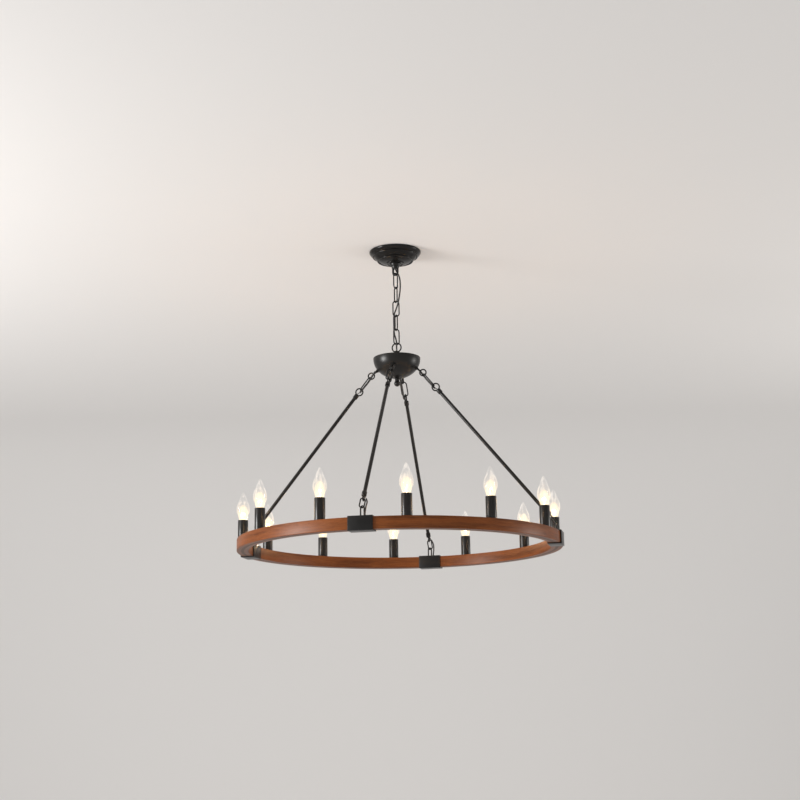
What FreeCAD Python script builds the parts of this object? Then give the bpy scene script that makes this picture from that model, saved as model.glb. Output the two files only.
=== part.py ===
import FreeCAD, Part
import math
import os
from types import SimpleNamespace

import Sketcher

# Wagon wheel chandelier. The ceiling plane is z = 0 and the lamp hangs below it on the Z axis.
# A timber wheel in four arcs hangs by four rods from a bowl, the bowl hangs by a chain from the
# ceiling canopy, and twelve candles stand on the wheel. Rod 1 lies over +X, rods 2 to 4 follow
# counter-clockwise. Lengths are in millimetres and angles in degrees.

SIZES = (
    # ceiling fixing
    ("bar_length", 104), ("bar_width", 20), ("bar_thickness", 2.5),
    ("slot_spacing", 88.9), ("slot_width", 5), ("slot_length", 12),
    ("earth_screw_offset", 24), ("earth_screw_radius", 2), ("earth_screw_head", 3.8),
    ("nipple_radius", 4.85), ("nipple_bore", 3.4), ("nipple_length", 38),
    ("nut_radius", 8.2), ("nut_thickness", 3.2), ("thread_fit", 0.05),
    # canopy, screw collar and the loop that carries the chain
    ("canopy_radius", 75.8), ("canopy_depth", 35.5), ("canopy_wall", 1.2),
    ("canopy_lip", 3.5), ("canopy_bead_1", 65.5), ("canopy_bead_2", 51.5), ("canopy_bead_3", 24),
    ("canopy_hole_fit", 0.4), ("canopy_arc_1", 22), ("canopy_arc_2", 34), ("canopy_arc_3", 60),
    ("collar_radius", 16), ("collar_height", 7.5),
    ("neck_radius", 11.9), ("neck_height", 21), ("neck_taper", 6.5), ("neck_tip_radius", 9.6),
    ("neck_below_canopy", 15.5), ("cord_hole", 3.6),
    ("loop_wire", 3), ("loop_radius", 8), ("loop_drop", 19.4),
    # chain
    ("link_length", 50), ("link_width", 21.5), ("link_wire", 1.8), ("link_gap", 0.15),
    # bowl
    ("bowl_radius", 68.3), ("bowl_depth", 58.5), ("bowl_side_radius", 52), ("bowl_wall", 1.5),
    ("cover_thickness", 1.5), ("boss_radius", 8.5), ("boss_height", 20.7),
    ("ring_wire", 2), ("ring_radius", 13.5), ("ring_sink", 2.5),
    ("stem_bore", 3.4), ("stem_slot_width", 3.4), ("stem_slot_height", 16), ("stem_slot_drop", 16),
    ("finial_radius", 9), ("finial_neck", 6.2), ("finial_drop", 15.4), ("finial_collar", 7),
    ("seat_gap", 0.1),
    # eye bolts in the bowl's side
    ("bolt_eye_reach", 76.5), ("bolt_eye_drop", 46.8), ("bolt_eye_radius", 9.2), ("bolt_eye_wire", 2),
    ("bolt_shank", 3), ("bolt_flange", 5.5), ("bolt_flange_height", 5), ("bolt_nut_radius", 5.6),
    ("bolt_nut_thickness", 4), ("bolt_nut_gap", 0.4),
    # rods
    ("rod_radius", 5), ("rod_bore", 3.5), ("rod_eye_wire", 2),
    ("upper_eye_radius", 10.5), ("lower_eye_radius", 8), ("cap_radius", 6.8), ("cap_length", 14),
    ("cap_end_wall", 3.5), ("cap_space", 3.5), ("cap_sink", 1), ("cap_edge", 1), ("rod_fit", 0.05),
    ("wire_hole", 1.7), ("wire_hole_offset", 3.3), ("wire_radius", 1.1), ("clamp_wire_offset", 8.5),
    # wheel
    ("wheel_below_bowl", 526.3), ("wheel_mid_radius", 440.6), ("rim_width", 32.8), ("rim_height", 32.3),
    ("rim_edge", 1.5), ("rim_joint_gap", 24), ("groove_width", 9), ("groove_depth", 7),
    ("groove_cover", 2), ("groove_fit", 0.1), ("harness_wire", 1.5),
    ("clamp_length", 66), ("clamp_wall", 2.5), ("clamp_fit", 0.25),
    ("clamp_screw_offset", 19), ("clamp_screw_radius", 1.5), ("clamp_screw_head", 3.6),
    ("clamp_screw_head_height", 2.2), ("clamp_screw_length", 14), ("clamp_hole_fit", 0.2),
    ("staple_wire", 2), ("staple_radius", 7), ("staple_height", 25.3), ("staple_turn", -35),
    ("staple_lean", 25),
    ("staple_rivet", 3.2), ("staple_rivet_height", 1.5),
    ("clamp_link_length", 37), ("clamp_link_width", 16.2), ("clamp_link_gap", 0.4),
    ("clamp_link_turn", -28),
    # candles
    ("sleeve_radius", 14.3), ("sleeve_wall", 1.2), ("sleeve_height", 58), ("sleeve_fit", 0.3),
    ("socket_radius", 9.5), ("socket_height", 46), ("socket_foot", 3), ("socket_bore_depth", 19.2),
    ("base_radius", 5.95), ("base_length", 20), ("bulb_fit", 0.08), ("bulb_seat_gap", 0.2),
    ("base_point", 2), ("bulb_shoulder", 4), ("bulb_tip", 1.6), ("bulb_neck_arc", 60),
    ("bulb_belly_arc", 48), ("bulb_tip_arc", 70), ("collar_bevel", 2), ("finial_collar_height", 3),
    ("bolt_flange_lip", 1.5), ("bolt_end", 1),
    ("bulb_neck_radius", 8.6), ("bulb_radius", 17.6), ("bulb_widest", 33), ("bulb_height", 91),
    ("socket_nipple_depth", 11), ("socket_nipple_bore", 3.2),
    # supply cord
    ("cord_radius", 2.25),
)

ROD_COUNT = 4
CANDLE_COUNT = 12
SLOT_COUNT = 4
TURN_OF_SECTOR = 360 / ROD_COUNT
FIRST_CANDLE = 180 / CANDLE_COUNT

# Turn of each link's plane about the vertical, from +X: a chain at rest isn't quite square.
LOOP_TURN = -20
LINK_TURNS = (65, -51.5, 20, -55.5, 42.5)
RING_TURN = -6
CANOPY_STEP_SHARES = (0.37, 0.74)
BULB_NECK_SHARES = (0.4, 0.62)
BASE_POINT_SHARE = 0.6
HARNESS_END_SHARE = 0.8

# The wire leaves each rod on the counter-clockwise side (1) or the clockwise side (-1).
WIRE_SIDES = (1, -1, 1, 1)

# The stem is screwed into this much of the boss under the ring.
STEM_SHARE_OF_BOSS = 0.6

# The supply cord leaves the neck, bows out beside the chain, is threaded through the third and
# the fifth link and goes into the bowl's boss.
CORD_ROUTE = (
    (0.4, 0.1, -1.0), (-0.5, 0.2, -22.0), (0.4, -0.2, -38.0), (0.0, 0.0, -51.0),
    (1.6, 4.3, -57.5), (5.1, 8.6, -63.0), (8.9, 9.8, -72.0), (11.6, 8.7, -85.0),
    (12.6, 6.9, -101.0), (12.1, 4.7, -118.0), (10.5, 1.8, -134.0), (8.8, -1.6, -149.0),
    (6.0, -3.8, -163.0), (0.1, -0.3, -176.0), (-5.6, 2.6, -187.0), (-7.8, 2.1, -199.0),
    (-7.5, 1.4, -216.0), (-7.6, 1.7, -235.0), (-6.6, 0.8, -250.0), (-2.1, -2.0, -263.0),
    (1.1, -6.2, -274.0), (1.4, -6.3, -284.0), (0.6, -2.9, -294.0), (0.0, 0.0, -304.0),
    (0.2, 0.1, -320.0), (0.0, 0.0, -338.0),
)

Vector = FreeCAD.Vector
Rotation = FreeCAD.Rotation
Placement = FreeCAD.Placement
X_AXIS = Vector(1, 0, 0)
Y_AXIS = Vector(0, 1, 0)
Z_AXIS = Vector(0, 0, 1)


class Dim(float):
    """A length that keeps the sheet expression it was worked out from."""

    def __new__(cls, value, text=None):
        dim = super().__new__(cls, value)
        dim.text = text if text is not None else repr(float(value))
        return dim

    @staticmethod
    def of(value):
        return value if isinstance(value, Dim) else Dim(value)

    def join(self, sign, other, value):
        return Dim(value, "(%s %s %s)" % (self.text, sign, Dim.of(other).text))

    def __add__(self, other):
        return self.join("+", other, float(self) + float(other))

    def __radd__(self, other):
        return Dim.of(other) + self

    def __sub__(self, other):
        return self.join("-", other, float(self) - float(other))

    def __rsub__(self, other):
        return Dim.of(other) - self

    def __mul__(self, other):
        return self.join("*", other, float(self) * float(other))

    def __rmul__(self, other):
        return Dim.of(other) * self

    def __truediv__(self, other):
        return self.join("/", other, float(self) / float(other))

    def __neg__(self):
        return Dim.of(0) - self


def write_sheet(doc):
    """Put the driving dimensions into a sheet and give them back as named lengths."""
    sheet = doc.addObject("Spreadsheet::Sheet", "Sizes")
    dims = {}
    for row, (name, value) in enumerate(SIZES, start=1):
        sheet.set("A%d" % row, name)
        sheet.set("B%d" % row, str(value))
        sheet.setAlias("B%d" % row, name)
        dims[name] = Dim(value, "Sizes." + name)
    doc.recompute()
    return SimpleNamespace(**dims)


DOC = FreeCAD.newDocument("wagon_wheel_chandelier")
S = write_sheet(DOC)
NODES = []


# ---------------------------------------------------------------- tools for building the pieces

def at(x=0.0, y=0.0, z=0.0, rotation=None):
    """A placement from a point and a rotation."""
    return Placement(Vector(x, y, z), rotation or Rotation())


def turned(degrees):
    """A placement turned about the vertical."""
    return Placement(Vector(), Rotation(Z_AXIS, degrees))


def new_body(label):
    """An empty body that becomes the node called label; it may hold several solids."""
    body = DOC.addObject("PartDesign::Body", label)
    body.Label = label
    body.AllowCompound = True
    NODES.append(body)
    return body


def origin_feature(body, role):
    return next(item for item in body.Origin.OriginFeatures if item.Role == role)


def upright_sketch(body, name, place):
    """A sketch whose x is the placement's X and whose y is the placement's Z."""
    sketch = body.newObject("Sketcher::SketchObject", name)
    sketch.AttachmentSupport = [(origin_feature(body, "XY_Plane"), "")]
    sketch.MapMode = "FlatFace"
    sketch.AttachmentOffset = place.multiply(Placement(Vector(), Rotation(X_AXIS, 90)))
    return sketch


def bind(sketch, constraint, dim):
    """Add a constraint whose value follows the sheet."""
    index = sketch.addConstraint(constraint)
    sketch.setExpression("Constraints[%d]" % index, dim.text)


def pin_point(sketch, index, end, x, y):
    """Hold one end of a line or arc at a point given by two lengths."""
    for kind, dim, axis in (("DistanceX", x, -2), ("DistanceY", y, -1)):
        if abs(dim) < 1e-9:
            sketch.addConstraint(Sketcher.Constraint("PointOnObject", index, end, axis))
        else:
            bind(sketch, Sketcher.Constraint(kind, -1, 1, index, end, float(dim)), dim)


def arc_between(start, end, radius):
    """The arc from start to end: a positive radius turns left, a negative one turns right."""
    chord = end - start
    half = chord.Length / 2
    side = math.copysign(1, radius)
    to_left = Vector(-chord.y, chord.x, 0).normalize()
    centre = (start + end) / 2 + to_left * (side * math.sqrt(radius * radius - half * half))
    first, last = (start, end) if side > 0 else (end, start)
    circle = Part.Circle(centre, Z_AXIS, abs(radius))
    return Part.ArcOfCircle(circle, circle.parameter(first), circle.parameter(last))


def draw_outline(sketch, corners):
    """A closed outline. A corner is (x, y), or (x, y, radius) where an arc leaves it."""
    count = len(corners)
    points = [Vector(float(corner[0]), float(corner[1]), 0) for corner in corners]
    ends = []
    for number, corner in enumerate(corners):
        start = points[number]
        end = points[(number + 1) % count]
        if len(corner) == 2:
            index = sketch.addGeometry(Part.LineSegment(start, end))
            ends.append((index, 1, 2))
            continue
        radius = Dim.of(corner[2])
        index = sketch.addGeometry(arc_between(start, end, radius))
        ends.append((index, 1, 2) if radius > 0 else (index, 2, 1))
        size = radius if radius > 0 else -radius
        bind(sketch, Sketcher.Constraint("Radius", index, float(size)), size)
    for number in range(count):
        index, start, end = ends[number]
        following, next_start, _ = ends[(number + 1) % count]
        sketch.addConstraint(Sketcher.Constraint("Coincident", index, end, following, next_start))
        pin_point(sketch, index, start, Dim.of(corners[number][0]), Dim.of(corners[number][1]))


def revolve(body, name, corners, place=None, angle=360.0):
    """Turn an outline in (radius, height) about the placement's Z axis."""
    sketch = upright_sketch(body, name + "_outline", place or Placement())
    draw_outline(sketch, corners)
    feature = body.newObject("PartDesign::Revolution", name)
    feature.Profile = sketch
    feature.ReferenceAxis = (sketch, ["V_Axis"])
    feature.Angle = angle
    return feature


def solid(body, kind, name, place, **dims):
    """An additive or subtractive primitive whose lengths follow the sheet."""
    feature = body.newObject("PartDesign::" + kind, name)
    for key, dim in dims.items():
        setattr(feature, key, float(dim))
        if isinstance(dim, Dim):
            feature.setExpression(key, dim.text)
    feature.Placement = place
    return feature


def wire_path(body, name, place, lines_and_arcs, start, radius, direction):
    """Sweep a round wire along a path drawn in the placement's XZ plane."""
    path = upright_sketch(body, name + "_path", place)
    for item in lines_and_arcs:
        path.addGeometry(item)
    profile = body.newObject("Sketcher::SketchObject", name + "_section")
    profile.AttachmentSupport = [(origin_feature(body, "XY_Plane"), "")]
    profile.MapMode = "FlatFace"
    profile.AttachmentOffset = place.multiply(Placement(start, Rotation(Z_AXIS, direction)))
    circle = profile.addGeometry(Part.Circle(Vector(), Z_AXIS, float(radius)))
    profile.addConstraint(Sketcher.Constraint("Coincident", circle, 3, -1, 1))
    bind(profile, Sketcher.Constraint("Radius", circle, float(radius)), radius)
    feature = body.newObject("PartDesign::AdditivePipe", name)
    feature.Profile = profile
    feature.Spine = (path, [])
    return feature


def oval_link(body, name, place, length, width, wire):
    """An oval link round the placement's origin, long along Z and wide along X."""
    bend = float(width / 2 - wire)
    straight = float(length / 2 - width / 2)
    path = (
        Part.LineSegment(Vector(bend, -straight, 0), Vector(bend, straight, 0)),
        Part.ArcOfCircle(Part.Circle(Vector(0, straight, 0), Z_AXIS, bend), 0, math.pi),
        Part.LineSegment(Vector(-bend, straight, 0), Vector(-bend, -straight, 0)),
        Part.ArcOfCircle(Part.Circle(Vector(0, -straight, 0), Z_AXIS, bend), math.pi, 2 * math.pi),
    )
    return wire_path(body, name, place, path, Vector(bend, 0, 0), wire, 0)


def repeat_round(body, features, count, angle=360.0):
    """Repeat features round the Z axis and make the pattern the body's result."""
    pattern = body.newObject("PartDesign::PolarPattern", body.Label + "_pattern")
    pattern.Originals = features
    pattern.Axis = (origin_feature(body, "Z_Axis"), [""])
    pattern.Angle = angle
    pattern.Occurrences = count
    body.Tip = pattern
    return pattern


def hex_nut(body, name, place, radius, thickness, bore):
    """A hexagon nut standing on the placement's XY plane, with a plain bore."""
    solid(body, "AdditivePrism", name, place, Circumradius=radius, Height=thickness).Polygon = 6
    DOC.recompute()
    solid(body, "SubtractiveCylinder", name + "_bore", place, Radius=bore, Height=thickness)


def rounded_route(points, trim=0.45):
    """Straight runs joined by tangent arcs, each as large as its shorter run allows."""
    corners = [Vector(*point) for point in points]
    edges = []
    radii = []
    start = corners[0]
    for before, corner, after in zip(corners, corners[1:], corners[2:]):
        to_before = before - corner
        to_after = after - corner
        cut = trim * min(to_before.Length, to_after.Length)
        half_turn = (math.pi - to_before.getAngle(to_after)) / 2
        radii.append(cut / math.tan(half_turn))
        arc_start = corner + to_before.normalize() * cut
        arc_end = corner + to_after.normalize() * cut
        bisector = (to_before + to_after).normalize()
        middle = corner + bisector * (radii[-1] * (1 / math.cos(half_turn) - 1))
        edges.append(Part.LineSegment(start, arc_start).toShape())
        edges.append(Part.Arc(arc_start, middle, arc_end).toShape())
        start = arc_end
    edges.append(Part.LineSegment(start, corners[-1]).toShape())
    return Part.Wire(edges), radii


def tube_along(points, radius, name):
    """A round cord along a rounded route; prints its radii and checks its volume."""
    path, radii = rounded_route(points)
    first = Vector(*points[1]) - Vector(*points[0])
    section = Part.Wire([Part.Circle(Vector(*points[0]), first, float(radius)).toShape()])
    tube = path.makePipeShell([section], True, False)
    expected = math.pi * float(radius) ** 2 * path.Length
    print("%s: length %.1f, volume %.4f of section times length, radii %s" % (
        name, path.Length, tube.Volume / expected, " ".join("%.0f" % r for r in radii)))
    return tube


def plain_node(label, shape):
    """A node that holds a shape built here from the sheet's sizes."""
    feature = DOC.addObject("Part::Feature", label)
    feature.Label = label
    feature.Shape = shape
    NODES.append(feature)
    return feature


# ---------------------------------------------------------------- levels and joint positions

def tube_outline(outer, inner, bottom, top):
    return ((inner, bottom), (outer, bottom), (outer, top), (inner, top))


link_pitch = S.link_length - 4 * S.link_wire - S.link_gap
neck_bottom = -(S.canopy_depth + S.neck_below_canopy)
loop_bottom = neck_bottom - S.loop_drop
first_link_top = loop_bottom + S.loop_wire + S.link_wire + S.link_gap
last_link_bottom = first_link_top - S.link_length + 2 * S.link_wire - link_pitch * (len(LINK_TURNS) - 1)
ring_centre = last_link_bottom + S.link_wire + S.ring_wire + S.link_gap - S.ring_radius
boss_top = ring_centre - S.ring_radius + S.ring_sink
cover_top = boss_top - S.boss_height
bowl_rim = cover_top - S.cover_thickness
bowl_bottom = bowl_rim - S.bowl_depth
rim_top = bowl_rim - S.wheel_below_bowl
rim_bottom = rim_top - S.rim_height
clamp_top = rim_top + S.clamp_fit + S.clamp_wall
clamp_bottom = rim_bottom - S.clamp_fit - S.clamp_wall
groove_top = rim_bottom + S.groove_depth
joint_half_angle = math.degrees(S.rim_joint_gap / 2 / S.wheel_mid_radius)

def bowl_arcs(wall):
    """The two tangent arcs of the bowl at a depth of wall under its outer face."""
    side = S.bowl_side_radius
    reach = S.bowl_radius - side
    base = (reach * reach + S.bowl_depth * S.bowl_depth - side * side) / ((S.bowl_depth - side) * 2)
    base_centre = bowl_rim - S.bowl_depth + base
    stretch = (side - wall) / (base - side)
    joint = (reach + reach * stretch, bowl_rim + (bowl_rim - base_centre) * stretch)
    return side - wall, base - wall, joint


# The eye bolt stands square on the bowl: its axis runs through the centre of the arc it is on,
# which is the side's arc unless the bowl is so deep that the bottom's arc reaches up to the bolt.
side_centre = Vector(S.bowl_radius - S.bowl_side_radius, 0, bowl_rim)
base_arc = bowl_arcs(Dim.of(0))[1]
base_centre = Vector(0, 0, bowl_bottom + base_arc)
bolt_eye = Vector(S.bolt_eye_reach, 0, bowl_rim - S.bolt_eye_drop)
to_joint = side_centre - base_centre
to_bolt = bolt_eye - base_centre
on_side = to_joint.z * to_bolt.x < to_bolt.z * to_joint.x
bolt_seat = side_centre if on_side else base_centre
bolt_seat_radius = S.bowl_side_radius if on_side else base_arc
bolt_line = bolt_eye - bolt_seat
bolt_distance = bolt_line.Length
bolt_direction = Vector(bolt_line).normalize()

# The rod hangs on the straight line from the bolt's eye to the staple on the clamp.
# The inward pull draws the clamp's link off the staple's top, staple_lean degrees round its bend.
hook = Vector(S.wheel_mid_radius, 0, clamp_top + S.staple_height)
staple_across = Rotation(Z_AXIS, 90 + S.staple_turn).multVec(X_AXIS)
staple_centre = hook + staple_across * (S.staple_radius * math.sin(math.radians(S.staple_lean))) \
    - Z_AXIS * (S.staple_radius * math.cos(math.radians(S.staple_lean)))
hang_direction = (hook - bolt_eye).normalize()
upper_link_start = S.bolt_eye_radius - S.bolt_eye_wire - S.link_wire - S.link_gap
upper_link_span = S.link_length - 2 * S.link_wire
upper_eye = bolt_eye + hang_direction * (
    upper_link_start + upper_link_span + S.upper_eye_radius - S.rod_eye_wire - S.link_wire - S.link_gap)
clamp_link_end = S.staple_wire + S.link_wire + S.clamp_link_gap
clamp_link_span = S.clamp_link_length - 2 * S.link_wire
lower_eye = hook + hang_direction * (
    clamp_link_end - clamp_link_span
    - (S.lower_eye_radius - S.rod_eye_wire - S.link_wire - S.clamp_link_gap))

ALONG_HANG = Rotation(Z_AXIS, hang_direction)


# ---------------------------------------------------------------- ceiling fixing and canopy

def make_mounting_bar():
    body = new_body("mounting_bar")
    solid(body, "AdditiveBox", "strap", at(-S.bar_length / 2, -S.bar_width / 2, -S.bar_thickness),
          Length=S.bar_length, Width=S.bar_width, Height=S.bar_thickness)
    solid(body, "SubtractiveCylinder", "nipple_hole", at(0, 0, -S.bar_thickness),
          Radius=S.nipple_radius + S.thread_fit, Height=S.bar_thickness)
    solid(body, "SubtractiveCylinder", "earth_hole", at(S.earth_screw_offset, 0, -S.bar_thickness),
          Radius=S.earth_screw_radius + S.thread_fit, Height=S.bar_thickness)
    straight = S.slot_length - S.slot_width
    for side in (-1, 1):
        centre = S.slot_spacing / 2 * side
        solid(body, "SubtractiveBox", "slot_%d" % (side + 1),
              at(centre - straight / 2, -S.slot_width / 2, -S.bar_thickness),
              Length=straight, Width=S.slot_width, Height=S.bar_thickness)
        for end in (-1, 1):
            solid(body, "SubtractiveCylinder", "slot_end_%d_%d" % (side + 1, end + 1),
                  at(centre + straight / 2 * end, 0, -S.bar_thickness),
                  Radius=S.slot_width / 2, Height=S.bar_thickness)


def make_hanging_nipple():
    body = new_body("hanging_nipple")
    revolve(body, "tube", tube_outline(
        S.nipple_radius, S.nipple_bore, -S.nipple_length - S.seat_gap, -S.seat_gap))


def make_nipple_locknuts():
    body = new_body("nipple_locknuts")
    bore = S.nipple_radius + S.thread_fit
    neck_top = neck_bottom + S.neck_height
    hex_nut(body, "upper_nut", at(z=-S.bar_thickness - S.nut_thickness), S.nut_radius,
            S.nut_thickness, bore)
    hex_nut(body, "lower_nut", at(z=neck_top), S.nut_radius, S.nut_thickness, bore)


def make_ground_screw():
    body = new_body("ground_screw")
    head_height = S.earth_screw_radius
    revolve(body, "screw", (
        (0, -S.bar_thickness - head_height), (S.earth_screw_head, -S.bar_thickness - head_height),
        (S.earth_screw_head, -S.bar_thickness), (S.earth_screw_radius, -S.bar_thickness),
        (S.earth_screw_radius, -S.seat_gap), (0, -S.seat_gap)), at(x=S.earth_screw_offset))


def make_canopy():
    """A spun cover with three rolled beads; its wall follows them inside."""
    body = new_body("canopy")
    wall = S.canopy_wall
    hole = S.neck_radius + S.canopy_hole_fit
    step = S.canopy_wall
    first, second = CANOPY_STEP_SHARES
    levels = (S.canopy_lip, S.canopy_depth * first, S.canopy_depth * second, S.canopy_depth - step)
    outer = (
        (S.canopy_radius, 0),
        (S.canopy_radius, -levels[0], -S.canopy_arc_1),
        (S.canopy_bead_1, -levels[1]),
        (S.canopy_bead_1 - step, -levels[1], -S.canopy_arc_2),
        (S.canopy_bead_2, -levels[2]),
        (S.canopy_bead_2 - step, -levels[2], -S.canopy_arc_3),
        (S.canopy_bead_3, -levels[3]),
        (S.canopy_bead_3 - step, -S.canopy_depth),
        (hole, -S.canopy_depth),
    )
    inner = (
        (hole, -S.canopy_depth + wall),
        (S.canopy_bead_3 - step - wall, -S.canopy_depth + wall),
        (S.canopy_bead_3 - wall, -levels[3] + wall, S.canopy_arc_3),
        (S.canopy_bead_2 - step - wall, -levels[2] + wall),
        (S.canopy_bead_2 - wall, -levels[2] + wall, S.canopy_arc_2),
        (S.canopy_bead_1 - step - wall, -levels[1] + wall),
        (S.canopy_bead_1 - wall, -levels[1] + wall, S.canopy_arc_1),
        (S.canopy_radius - wall, -levels[0]),
        (S.canopy_radius - wall, 0),
    )
    revolve(body, "shell", outer + inner)


def make_screw_collar():
    body = new_body("screw_collar")
    bore = S.neck_radius + S.thread_fit
    top = -S.canopy_depth
    bottom = top - S.collar_height
    revolve(body, "ring", (
        (bore, bottom), (S.collar_radius - S.collar_bevel, bottom),
        (S.collar_radius, top - S.collar_bevel),
        (S.collar_radius, top), (bore, top)))


def make_canopy_loop():
    """A threaded neck with a cord hole and a U of round wire below it."""
    body = new_body("canopy_loop")
    top = neck_bottom + S.neck_height
    nipple_hole = S.nipple_radius + S.thread_fit
    nipple_end = -S.nipple_length - S.seat_gap - S.seat_gap
    revolve(body, "neck", (
        (S.cord_hole, neck_bottom), (S.neck_tip_radius, neck_bottom),
        (S.neck_radius, neck_bottom + S.neck_taper), (S.neck_radius, top), (nipple_hole, top),
        (nipple_hole, nipple_end), (S.cord_hole, nipple_end)))
    legs = float(S.loop_drop - S.loop_radius + S.loop_wire / 2)
    radius = float(S.loop_radius)
    path = (
        Part.LineSegment(Vector(-radius, legs, 0), Vector(-radius, 0, 0)),
        Part.ArcOfCircle(Part.Circle(Vector(), Z_AXIS, radius), math.pi, 2 * math.pi),
        Part.LineSegment(Vector(radius, 0, 0), Vector(radius, legs, 0)),
    )
    place = at(z=loop_bottom + S.loop_radius).multiply(turned(LOOP_TURN))
    DOC.recompute()
    wire_path(body, "loop", place, path, Vector(-radius, 0, legs), S.loop_wire, 0)


def make_chain():
    """Five oval links, each hanging in the one above it."""
    half_span = S.link_length / 2 - S.link_wire
    for number, turn in enumerate(LINK_TURNS):
        body = new_body("chain_link_%d" % (number + 1))
        oval_link(body, "link_%d" % (number + 1), Placement(), S.link_length, S.link_width, S.link_wire)
        height = first_link_top - link_pitch * number - half_span
        body.Placement = at(z=height).multiply(turned(turn))


def make_supply_cord():
    plain_node("supply_cord", tube_along(CORD_ROUTE, S.cord_radius, "supply cord"))


# ---------------------------------------------------------------- bowl

def make_bowl_shell():
    body = new_body("bowl_shell")
    wall = S.bowl_wall
    hole = S.nipple_radius + S.thread_fit + S.seat_gap
    side, base, joint = bowl_arcs(Dim.of(0))
    inner_side, inner_base, inner_joint = bowl_arcs(wall)
    arc_height = bowl_bottom + base
    lip = Dim.of(math.sqrt(base * base - hole * hole))
    inner_lip = Dim.of(math.sqrt(inner_base * inner_base - hole * hole))
    revolve(body, "shell", (
        (hole, arc_height - lip, base), (joint[0], joint[1], side), (S.bowl_radius, bowl_rim),
        (S.bowl_radius - wall, bowl_rim, -inner_side), (inner_joint[0], inner_joint[1], -inner_base),
        (hole, arc_height - inner_lip)))
    DOC.recompute()
    for sector in range(ROD_COUNT):
        turn = turned(sector * TURN_OF_SECTOR)
        solid(body, "SubtractiveCylinder", "bolt_hole_%d" % (sector + 1),
              turn.multiply(Placement(bolt_seat, Rotation(Z_AXIS, bolt_direction))),
              Radius=S.bolt_shank + S.thread_fit, Height=bolt_seat_radius + S.bowl_wall)
        solid(body, "SubtractiveCylinder", "wire_hole_%d" % (sector + 1),
              turn.multiply(wire_hole_place()),
              Radius=S.wire_hole + S.seat_gap, Height=S.bowl_wall * 10)


def make_bowl_cover():
    body = new_body("bowl_cover")
    revolve(body, "disc", tube_outline(
        S.bowl_radius, S.nipple_radius + S.thread_fit + S.seat_gap, bowl_rim, cover_top))


def make_bowl_loop():
    """A ring on a threaded boss; the cord goes down through the boss."""
    body = new_body("bowl_loop")
    stem_hole = S.nipple_radius + S.thread_fit
    upright = turned(RING_TURN).Rotation.multiply(Rotation(X_AXIS, 90))
    solid(body, "AdditiveTorus", "ring", Placement(Vector(0, 0, ring_centre), upright),
          Radius1=S.ring_radius, Radius2=S.ring_wire)
    DOC.recompute()
    solid(body, "AdditiveCylinder", "boss", at(z=cover_top), Radius=S.boss_radius, Height=S.boss_height)
    DOC.recompute()
    solid(body, "SubtractiveCylinder", "cord_bore", at(z=cover_top), Radius=S.stem_bore,
          Height=S.boss_height + S.ring_wire * 2)
    solid(body, "SubtractiveCylinder", "stem_bore", at(z=cover_top), Radius=stem_hole,
          Height=S.boss_height * STEM_SHARE_OF_BOSS)


def make_centre_stem():
    """A hollow threaded stem; four side slots let the wires out inside the bowl."""
    body = new_body("centre_stem")
    top = cover_top + S.boss_height * STEM_SHARE_OF_BOSS - S.seat_gap
    bottom = bowl_bottom - S.finial_collar
    revolve(body, "tube", tube_outline(S.nipple_radius, S.stem_bore, bottom, top))
    DOC.recompute()
    slot = solid(body, "SubtractiveBox", "wire_slot",
                 at(0, -S.stem_slot_width / 2, bowl_rim - S.stem_slot_drop - S.stem_slot_height),
                 Length=S.nipple_radius * 2, Width=S.stem_slot_width, Height=S.stem_slot_height)
    repeat_round(body, [slot], SLOT_COUNT)


def make_stem_nuts():
    body = new_body("stem_nuts")
    bore = S.nipple_radius + S.thread_fit
    _, inner_base, _ = bowl_arcs(S.bowl_wall)
    seat = inner_base - Dim.of(math.sqrt(inner_base * inner_base - S.nut_radius * S.nut_radius))
    hex_nut(body, "upper_nut", at(z=bowl_rim - S.nut_thickness), S.nut_radius, S.nut_thickness, bore)
    hex_nut(body, "lower_nut", at(z=bowl_bottom + S.bowl_wall + seat + S.seat_gap), S.nut_radius,
            S.nut_thickness, bore)


def make_ball_finial():
    body = new_body("ball_finial")
    bore = S.nipple_radius + S.thread_fit
    centre = bowl_bottom - S.finial_drop
    ball = S.finial_radius
    collar_top = bowl_bottom - S.seat_gap
    neck_meets = centre + Dim.of(math.sqrt(ball * ball - S.finial_neck * S.finial_neck))
    bore_end = bowl_bottom - S.finial_collar - S.seat_gap
    revolve(body, "finial", (
        (0, centre - ball, ball), (ball, centre, ball), (S.finial_neck, neck_meets),
        (S.finial_neck, collar_top - S.finial_collar_height),
        (S.finial_collar, collar_top - S.finial_collar_height),
        (S.finial_collar, collar_top), (bore, collar_top), (bore, bore_end), (0, bore_end)))


def make_eye_bolts():
    """An eye on a shank with a cone-shaped shoulder outside the bowl."""
    body = new_body("eye_bolts")
    along = Placement(bolt_eye, Rotation(Z_AXIS, -bolt_direction))
    outside = bolt_distance - bolt_seat_radius - S.seat_gap
    inside = outside + S.seat_gap + S.bowl_wall + S.bolt_nut_gap + S.bolt_nut_thickness + S.bolt_end
    eye = solid(body, "AdditiveTorus", "eye", Placement(bolt_eye, Rotation(X_AXIS, 90)),
                Radius1=S.bolt_eye_radius, Radius2=S.bolt_eye_wire)
    DOC.recompute()
    shank = revolve(body, "shank", (
        (0, S.bolt_eye_radius), (S.bolt_eye_wire, S.bolt_eye_radius),
        (S.bolt_shank, outside - S.bolt_flange_height), (S.bolt_flange, outside - S.bolt_flange_lip),
        (S.bolt_flange, outside), (S.bolt_shank, outside), (S.bolt_shank, inside), (0, inside)), along)
    repeat_round(body, [eye, shank], ROD_COUNT)


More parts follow.
